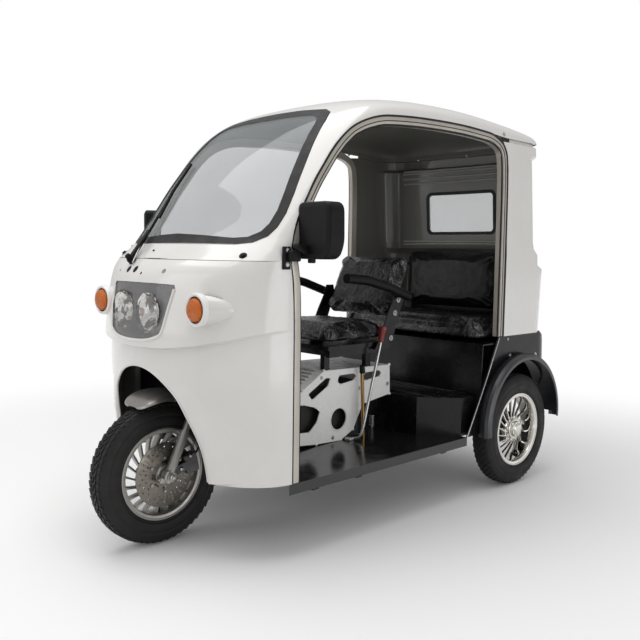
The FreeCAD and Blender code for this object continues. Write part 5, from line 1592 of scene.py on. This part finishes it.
@dataclass
class Wheel(Assembly):
    """Tyre, rim and tread of one wheel, built on its axle line."""

    name: str
    body: str
    outward: int
    rim_finish: Finish
    spokes: int
    dish: float
    tyre_half: float = 0.0472
    crown: float = 0.2498
    flange: float = 0.166
    seat: float = 0.150
    blocks: int = 56
    rows: Route = ((0.0, 0.0085, 0.0), (0.0118, 0.0095, 0.5), (-0.0118, 0.0095, 0.5), (0.0255, 0.0135, 0.0),
                   (-0.0255, 0.0135, 0.0))

    def __post_init__(self) -> None:
        """Find the wheel's middle, which is that of its CAD tyre."""
        self.centre = sum(self.limits(f"{self.name}_tyre"), Vector((0, 0, 0))) / 2

    def build(self) -> None:
        """Make the wheel's pieces."""
        title = self.name.title().replace("_", "")
        self.add(join(f"{title}Tyre", self.tyre()), TREAD, self.body, f"{self.name}_tyre")
        self.add(join(f"{title}Rim", self.rim()), self.rim_finish, self.body, f"{self.name}_rim")
        foot = self.centre + Vector((0.012 * self.outward, 0, -self.seat + 0.006))
        axis = (0.25 * self.outward, 0, 1)
        stem = smooth(drum("ValveStem", foot + Vector((0, 0, 0.014)), 0.004, 0.026, 12, axis, 0.0032))
        cap = foot + Vector((0.007 * self.outward, 0, 0.030))
        valve = [stem, drum("ValveCap", cap, 0.0042, 0.010, 12, axis, width=0.001)]
        self.add(join(f"{title}Valve", valve), RUBBER, self.body)

    def tyre(self) -> list[Mesh]:
        """Carcass with bulged, ribbed walls and a tread of staggered blocks.

        Returns:
            The carcass and the tread.
        """
        half, flange = self.tyre_half, self.flange
        wall = [
            (half - 0.012, flange - 0.008), (half - 0.0065, flange - 0.003), (half - 0.004, flange + 0.004),
            (half - 0.005, flange + 0.007), (half - 0.002, flange + 0.010), (half - 0.0003, 0.190), (half, 0.204),
            (half - 0.0018, 0.2085), (half - 0.0006, 0.2115), (half - 0.002, 0.220), (half - 0.006, 0.2325),
            (half - 0.0115, 0.2395), (half - 0.0122, 0.2388), (half - 0.016, 0.2425), (half - 0.0255, 0.2462),
        ]
        profile = wall + [(-along, radius) for along, radius in reversed(wall)]
        carcass = turned("Carcass", profile, self.centre, 96)
        there, back = Matrix.Translation(self.centre), Matrix.Translation(-self.centre)
        pitch = FULL_TURN / self.blocks
        blocks = []
        for along, width, phase in self.rows:
            shoulder = abs(along) > 0.02
            side = 1 if along > 0 else -1
            top = self.crown - (0.0034 if shoulder else 0.0)
            size = (width, pitch * self.crown * (0.84 if shoulder else 0.9), 0.008)
            middle = self.centre + Vector((along, 0, top - 0.004))
            block = box("Block", middle, size, turn=(0, 11 * side if shoulder else 0, 0))
            with editing(block):
                pivot = self.centre + Vector((along, 0, top))
                bpy.ops.transform.rotate(value=0.3 if along >= 0 else -0.3, orient_axis="Z", center_override=pivot)
            ease(block, 0.001, 1)
            block.matrix_world = there @ Matrix.Rotation(pitch * phase, 4, "X") @ back
            blocks.append(settle(block))
        return [carcass, around(join("Tread", blocks), self.blocks, self.centre)]

    def spoke(self) -> Mesh:
        """One curved, tapering fin from hub to barrel.

        Returns:
            The fin.
        """
        rear = self.dish != 0
        inner, outer = (0.050 if rear else 0.030), self.seat - 0.004
        root, waist, sweep = (0.0036, 0.0008, 26) if rear else (0.0042, 0.0012, 40)
        front, back = [], []
        for k in range(9):
            part = k / 8
            radius = inner + (outer - inner) * part
            half = root - waist * math.sin(math.pi * part)
            rise = self.dish * self.outward * (1.2 - 2.4 * part)
            for line, side in ((front, 1), (back, -1)):
                angle = math.radians(sweep) * (1 - (1 - part) ** 1.7) + side * half / radius
                line.append(self.centre + Vector((rise, radius * math.sin(angle), radius * math.cos(angle))))
        depth = 0.011 if rear else 0.026
        fin = sheet("Fin", [front, back])
        with editing(fin):
            extrude((depth, 0, 0))
            bpy.ops.transform.translate(value=(-depth / 2, 0, 0))
        return ease(fin, 0.0014)

    def rim(self) -> list[Mesh]:
        """Barrel with rolled lips, fins and hub.

        Returns:
            The rim's parts.
        """
        half, flange, seat = 0.0425, self.flange - 0.0004, self.seat
        lip = [(half - 0.007, flange - 0.006), (half - 0.002, flange - 0.001), (half, flange - 0.003),
               (half, flange - 0.007), (half - 0.0025, flange - 0.0085), (half - 0.0045, seat - 0.002),
               (half - 0.009, seat - 0.005)]
        profile = [*lip, (0.010, seat - 0.0065), (-0.012, seat - 0.0065), *((-x, r) for x, r in reversed(lip)),
                   (-half + 0.007, seat + 0.002), (half - 0.007, seat + 0.002), lip[0]]
        parts = [turned("Barrel", profile, self.centre, 96), around(self.spoke(), self.spokes, self.centre)]
        if self.dish:
            return parts + self.rear_hub()
        hub = [(-0.032, 0.0086), (-0.032, 0.026), (-0.026, 0.032), (-0.014, 0.034), (-0.010, 0.040), (0.010, 0.040),
               (0.014, 0.034), (0.028, 0.032), (0.034, 0.040), (0.0435, 0.040), (0.0435, 0.0086)]
        return [*parts, turned("Hub", hub, self.centre, 64)]

    def rear_hub(self) -> list[Mesh]:
        """Lobed hub with a stepped cap that stands out of the dish.

        Returns:
            The hub's parts.
        """
        out, centre = self.outward, self.centre
        base = [(-0.030, 0.0146), (-0.030, 0.050), (-0.004, 0.058), (0.010, 0.058), (0.013, 0.054), (0.013, 0.046),
                (0.017, 0.0445), (0.020, 0.047), (0.025, 0.047), (0.027, 0.044), (0.027, 0.036), (0.030, 0.0345),
                (0.033, 0.0365), (0.037, 0.0355), (0.0385, 0.031), (0.0385, 0.0146)]
        cap = [(0.0385, 0.0155), (0.0385, 0.026), (0.041, 0.0255), (0.0435, 0.022), (0.0445, 0.014), (0.0445, 0.0001)]
        lobe = drum("Lobe", centre + Vector((0.0135 * out, 0, 0.050)), 0.0085, 0.014, 16, width=0.0025)
        stud = drum("Stud", centre + Vector((0.0395 * out, 0, 0.0305)), 0.0032, 0.005, 6, width=0.0006, segments=1)
        return [turned("HubBase", [(along * out, radius) for along, radius in base], centre, 64),
                around(lobe, 9, centre),
                turned("HubCap", [(along * out, radius) for along, radius in cap], centre, 48),
                around(stud, 8, centre)]


@dataclass
class FrontGear(Assembly):
    """Fork, brake and mudguard details of the steered wheel."""

    rake: float = 24.4
    spread: float = 0.075
    guard_rings: tuple[tuple[float, float, float, float], ...] = (
        (21.5, 0.2655, 0.030, 0.2), (21, 0.267, 0.052, 0.2), (19, 0.2725, 0.071, 0.3), (15, 0.281, 0.082, 0.5),
        (9, 0.2885, 0.0875, 0.8), (2, 0.2925, 0.0885, 1.0), (-8, 0.2935, 0.0885, 1.0), (-18, 0.2935, 0.088, 1.0),
        (-28, 0.293, 0.087, 1.0), (-38, 0.292, 0.085, 1.0), (-46, 0.290, 0.082, 1.0),
    )
    guard_section: Pairs = ((-1.0, -0.024), (-0.97, -0.013), (-0.86, -0.004), (-0.5, 0.001), (0, 0.003), (0.5, 0.001),
                            (0.86, -0.004), (0.97, -0.013), (1.0, -0.024))
    drill: Pairs = ((0, 0.100), (0.0135, 0.0875), (0.024, 0.072))
    carrier: Pairs = ((0.0002, 0.036), (0.0045, 0.034), (0.006, 0.030), (0.006, 0.0095), (0.0002, 0.0095))

    def __post_init__(self) -> None:
        """Work out the fork's own directions."""
        turn = math.radians(self.rake)
        self.axle = spot(0, 0, 250)
        self.up = Vector((0, math.sin(turn), math.cos(turn)))
        self.behind = Vector((0, math.cos(turn), -math.sin(turn)))

    def at(self, x: float, behind: float, along: float) -> Vector:
        """Point in the fork's own directions from the axle, in metres."""
        return self.axle + Vector((x, 0, 0)) + self.behind * behind + self.up * along

    def build(self) -> None:
        """Make the fork's, the brake's and the guard's pieces."""
        self.add(self.collars(), SILVER, "steering")
        self.add(self.fastenings(), STEEL, "steering")
        self.add(self.guard(), SILVER, "steering", "front_mudguard")
        low, high = self.limits("front_disc")
        self.add(self.disc((low.x + high.x) / 2, (high.x - low.x) / 2), DISC_STEEL, "front_wheel", "front_disc")
        face = Vector((high.x, self.axle.y, self.axle.z))
        bolt = drum("CarrierBolt", face + Vector((0.0035, 0, 0.060)), 0.0068, 0.006, 6, width=0.001)
        ring = turned("CarrierRing", self.carrier, face, 48)
        self.add(join("DiscCarrier", [ring, around(bolt, 6, face)]), SILVER, "front_wheel")
        start = self.limits("brake_caliper")[1] + Vector((-0.010, -0.020, -0.014))
        route = [start, start + Vector((0.006, 0.030, 0.030)), self.at(self.spread + 0.006, 0.040, 0.190),
                 self.at(self.spread + 0.004, 0.030, 0.290), self.at(self.spread - 0.004, 0.024, 0.330)]
        self.add(rod("BrakeHose", route, 0.0042, 10, 3), RUBBER, "steering")

    def collars(self) -> Mesh:
        """Cast axle clamps at the foot of both legs and rings at the top of the lower tubes.

        Returns:
            The collars as one piece.
        """
        parts = []
        for x in (self.spread, -self.spread):
            parts.append(drum("AxleClamp", self.at(x, 0, 0), 0.0245, 0.030, 32, width=0.003, segments=3))
            lug = self.at(x, -0.020, -0.022)
            parts.append(box("PinchLug", lug, (0.020, 0.026, 0.022), 0.004, 3, (-self.rake, 0, 0)))
            parts.append(drum("LegRing", self.at(x, 0, 0.262), 0.0205, 0.012, 32, self.up, width=0.002))
        return join("ForkClamps", parts)

    def fastenings(self) -> Mesh:
        """Axle nuts, pinch bolts and caliper bolts.

        Returns:
            The fastenings as one piece.
        """
        parts = []
        for side in (1, -1):
            x = side * (self.spread + 0.024)
            washer, tip = self.at(x - side * 0.006, 0, 0), self.at(x + side * 0.007, 0, 0)
            parts.append(drum("AxleWasher", washer, 0.0165, 0.003, 28, width=0.0006, segments=1))
            parts.append(drum("AxleNut", self.at(x, 0, 0), 0.0135, 0.011, 6, width=0.0014))
            parts.append(drum("AxleTip", tip, 0.0075, 0.008, 20, width=0.0014))
            pinch = self.at(side * self.spread, -0.034, -0.022)
            parts.append(drum("PinchBolt", pinch, 0.0055, 0.006, 6, self.behind, width=0.0008, segments=1))
        low, high = self.limits("brake_caliper")
        middle = (low + high) / 2
        for y, z in ((0.022, 0.030), (-0.016, -0.012)):
            place = Vector((high.x + 0.003, middle.y + y, middle.z + z))
            parts.append(drum("CaliperBolt", place, 0.0075, 0.007, 6, width=0.001))
        return join("ForkFastenings", parts)

    def guard(self) -> Mesh:
        """Broad guard swept over the tyre, its front lip curled down.

        Returns:
            The guard with its bracket.
        """
        rows = []
        for degrees, radius, half, depth in self.guard_rings:
            angle = math.radians(degrees)
            rows.append([])
            for share, drop in self.guard_section:
                reach = radius + drop * depth
                rows[-1].append(self.axle + Vector((share * half, -reach * math.sin(angle), reach * math.cos(angle))))
        guard = smooth(sheet("FrontGuard", rows, 0.003, 2), 50)
        bracket = box("GuardBracket", self.at(0, 0, 0.313), (0.044, 0.028, 0.048), 0.003, 2, (-self.rake, 0, 0))
        return join("FrontMudguard", [guard, bracket])

    def disc(self, middle: float, half: float) -> Mesh:
        """Brake disc with rings of drilled holes and arc-shaped windows.

        Args:
            middle: Its place across the vehicle.
            half: Half its thickness.

        Returns:
            The disc.
        """
        centre = Vector((middle, self.axle.y, self.axle.z))
        profile = [(-half, 0.0086), (-half, 0.1135), (-half + 0.0008, 0.1148), (half - 0.0008, 0.1148),
                   (half, 0.1135), (half, 0.0086), (-half, 0.0086)]
        disc = turned("Disc", profile, centre, 96)
        holes = [drum("Drill", centre + Vector((0, y, z)), 0.0034, 0.02, 12) for y, z in self.drill]
        carve(disc, around(join("Drills", holes), 18, centre))
        window = box("Window", centre + Vector((0, 0, 0.046)), (0.02, 0.020, 0.007))
        carve(disc, around(window, 8, centre))
        return smooth(disc)


# Studio


@dataclass
class Studio:
    """Floor, world, lamps and camera."""

    floor_size: float = 60.0
    lamps: tuple[tuple[str, Point, Point, float, float], ...] = (
        ("TopLamp", (-0.5, -0.8, 4.6), (0, 0, 0.8), 4.0, 100),
        ("FrontLamp", (-1.8, -4.6, 2.4), (0, -0.4, 0.8), 3.0, 30),
        ("SideLamp", (3.6, 0.1, 0.6), (0, 0.1, 0.5), 2.0, 20),
    )
    camera_place: Point = (2.315, -2.268, 1.039)
    azimuth: float = 46.0
    pitch: float = 5.14
    roll: float = 0.81
    focal_pixels: float = 767.0
    frame_pixels: float = 640.0
    sensor: float = 36.0

    def build(self) -> None:
        """Lay the floor, light the world, hang the soft lamps and place the photograph's camera."""
        self.floor()
        self.world()
        for name, place, target, size, power in self.lamps:
            clear_selection()
            bpy.ops.object.light_add(type="AREA", location=place)
            lamp = bpy.context.object
            lamp.name = name
            lamp.data.size = size
            lamp.data.energy = power
            lamp.rotation_euler = (Vector(target) - Vector(place)).to_track_quat("-Z", "Y").to_euler()
        clear_selection()
        bpy.ops.object.camera_add()
        camera = bpy.context.object
        camera.name = "Camera"
        camera.data.sensor_width = self.sensor
        camera.data.lens = self.focal_pixels / self.frame_pixels * self.sensor
        turn = Matrix.Translation(self.camera_place)
        for angle, axis in ((self.azimuth, "Z"), (90 - self.pitch, "X"), (self.roll, "Z")):
            turn = turn @ Matrix.Rotation(math.radians(angle), 4, axis)
        camera.matrix_world = turn
        bpy.context.scene.camera = camera

    def floor(self) -> None:
        """Lay the white floor, which fades into the world's white."""
        clear_selection()
        bpy.ops.mesh.primitive_plane_add(size=self.floor_size)
        piece = named("Floor")
        paint = Paintwork("WhiteFloor")
        path = paint.add("LightPath").outputs
        seen = paint.sums("MAXIMUM", path["Is Camera Ray"], path["Is Glossy Ray"])
        seen = paint.sums("MAXIMUM", seen, path["Is Transmission Ray"])
        colour = paint.blend(seen, (0.7, 0.7, 0.7), (1.0, 1.0, 1.0))
        paint.set(Base_Color=colour, Roughness=0.9, Specular_IOR_Level=0.1)
        distance = paint.add("VectorMath", {0: paint.here}, operation="LENGTH")
        far = paint.ramp(distance.outputs["Value"], 1.6, 3.4, 0.0, 1.0)
        far.node.interpolation_type = "SMOOTHSTEP"
        surfaces = {0: paint.sums("MULTIPLY", far, seen), 1: paint.shader.outputs["BSDF"],
                    2: paint.add("Emission").outputs["Emission"]}
        paint.put(paint.output.inputs["Surface"], paint.add("MixShader", surfaces).outputs["Shader"])
        piece.data.materials.append(paint.material)

    def world(self) -> None:
        """Light from everywhere, seen as plain white."""
        world = bpy.data.worlds.new("Studio")
        bpy.context.scene.world = world
        world.use_nodes = True
        wiring = Wiring(world.node_tree)
        path = wiring.add("LightPath").outputs
        either = wiring.sums("MAXIMUM", path["Is Camera Ray"], path["Is Transmission Ray"])
        soft, seen = (wiring.add("Background", {"Color": (1, 1, 1, 1), "Strength": strength}).outputs[0]
                      for strength in (0.55, 1.0))
        mix = wiring.add("MixShader", {0: either, 1: soft, 2: seen})
        wiring.add("OutputWorld", {"Surface": mix.outputs[0]})


NODE_FINISHES = {
    WHITE: ("front_fairing", "upper_shell", "rear_shell"),
    CLEAR: ("headlamp_lens",),
    BEZEL: ("headlamp_housing",),
    AMBER: ("front_turn_signals",),
    RUBBER: ("windscreen_seal", "rear_window_seal"),
    GLASS: ("windscreen_glass",),
    BACK_GLASS: ("rear_window_glass",),
    SATIN_BLACK: ("lower_body", "frame", "leaf_springs", "bench_base", "seat_base", "handlebar", "rear_step"),
    GLOSS_BLACK: ("floor_deck",),
    FENDER: ("rear_fenders",),
    BLACK_PLASTIC: ("leg_shield", "armrests", "mirror_left", "mirror_right", "wiper", "instrument_pod"),
    CHANNEL: ("door_frames",),
    IRON: ("rear_axle", "engine_block"),
    STEEL: ("drive_shaft", "exhaust", "levers", "front_disc"),
    VINYL: ("bench_cushion", "bench_backrest", "seat_cushion", "seat_backrest"),
    WHITE_PLASTIC: ("engine_cover",),
    RED: ("tail_lamps",),
    SILVER: ("fork", "front_mudguard", "front_rim"),
    CAST: ("brake_caliper",),
    TREAD: ("front_tyre", "rear_left_tyre", "rear_right_tyre"),
    CHROME: ("rear_left_rim", "rear_right_rim"),
}

WHEELS = (
    ("front", "front_wheel", 1, SILVER, 20, 0.0),
    ("rear_left", "rear_wheel_left", 1, CHROME, 18, 0.012),
    ("rear_right", "rear_wheel_right", -1, CHROME, 18, 0.012),
)


def main() -> None:
    """Build the scene around the frame."""
    logging.basicConfig(level=logging.INFO, format="%(message)s")
    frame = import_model()
    bpy.context.scene.view_settings.view_transform = "Standard"
    for name in ("Cube", "Light", "Camera"):
        if name in bpy.data.objects:
            bpy.data.objects.remove(bpy.data.objects[name])
    wardrobe, nodes = Wardrobe(), frame["nodes"]
    for finish, names in NODE_FINISHES.items():
        for name in names:
            smooth(wardrobe.dress(nodes[name], finish), 30)
    for kind in (Seats, Headlamp, TurnSignals, ShellTrim, DoorTrim, Mirrors, WiperGear, EngineCover, Levers,
                 FloorAndStep, LowerBodyTrim, Cockpit):
        kind(wardrobe, nodes).build()
    for sizes in WHEELS:
        Wheel(wardrobe, nodes, *sizes).build()
    FrontGear(wardrobe, nodes).build()
    Studio().build()
    clear_selection()
    bpy.context.view_layer.update()


if __name__ == "__main__":
    main()
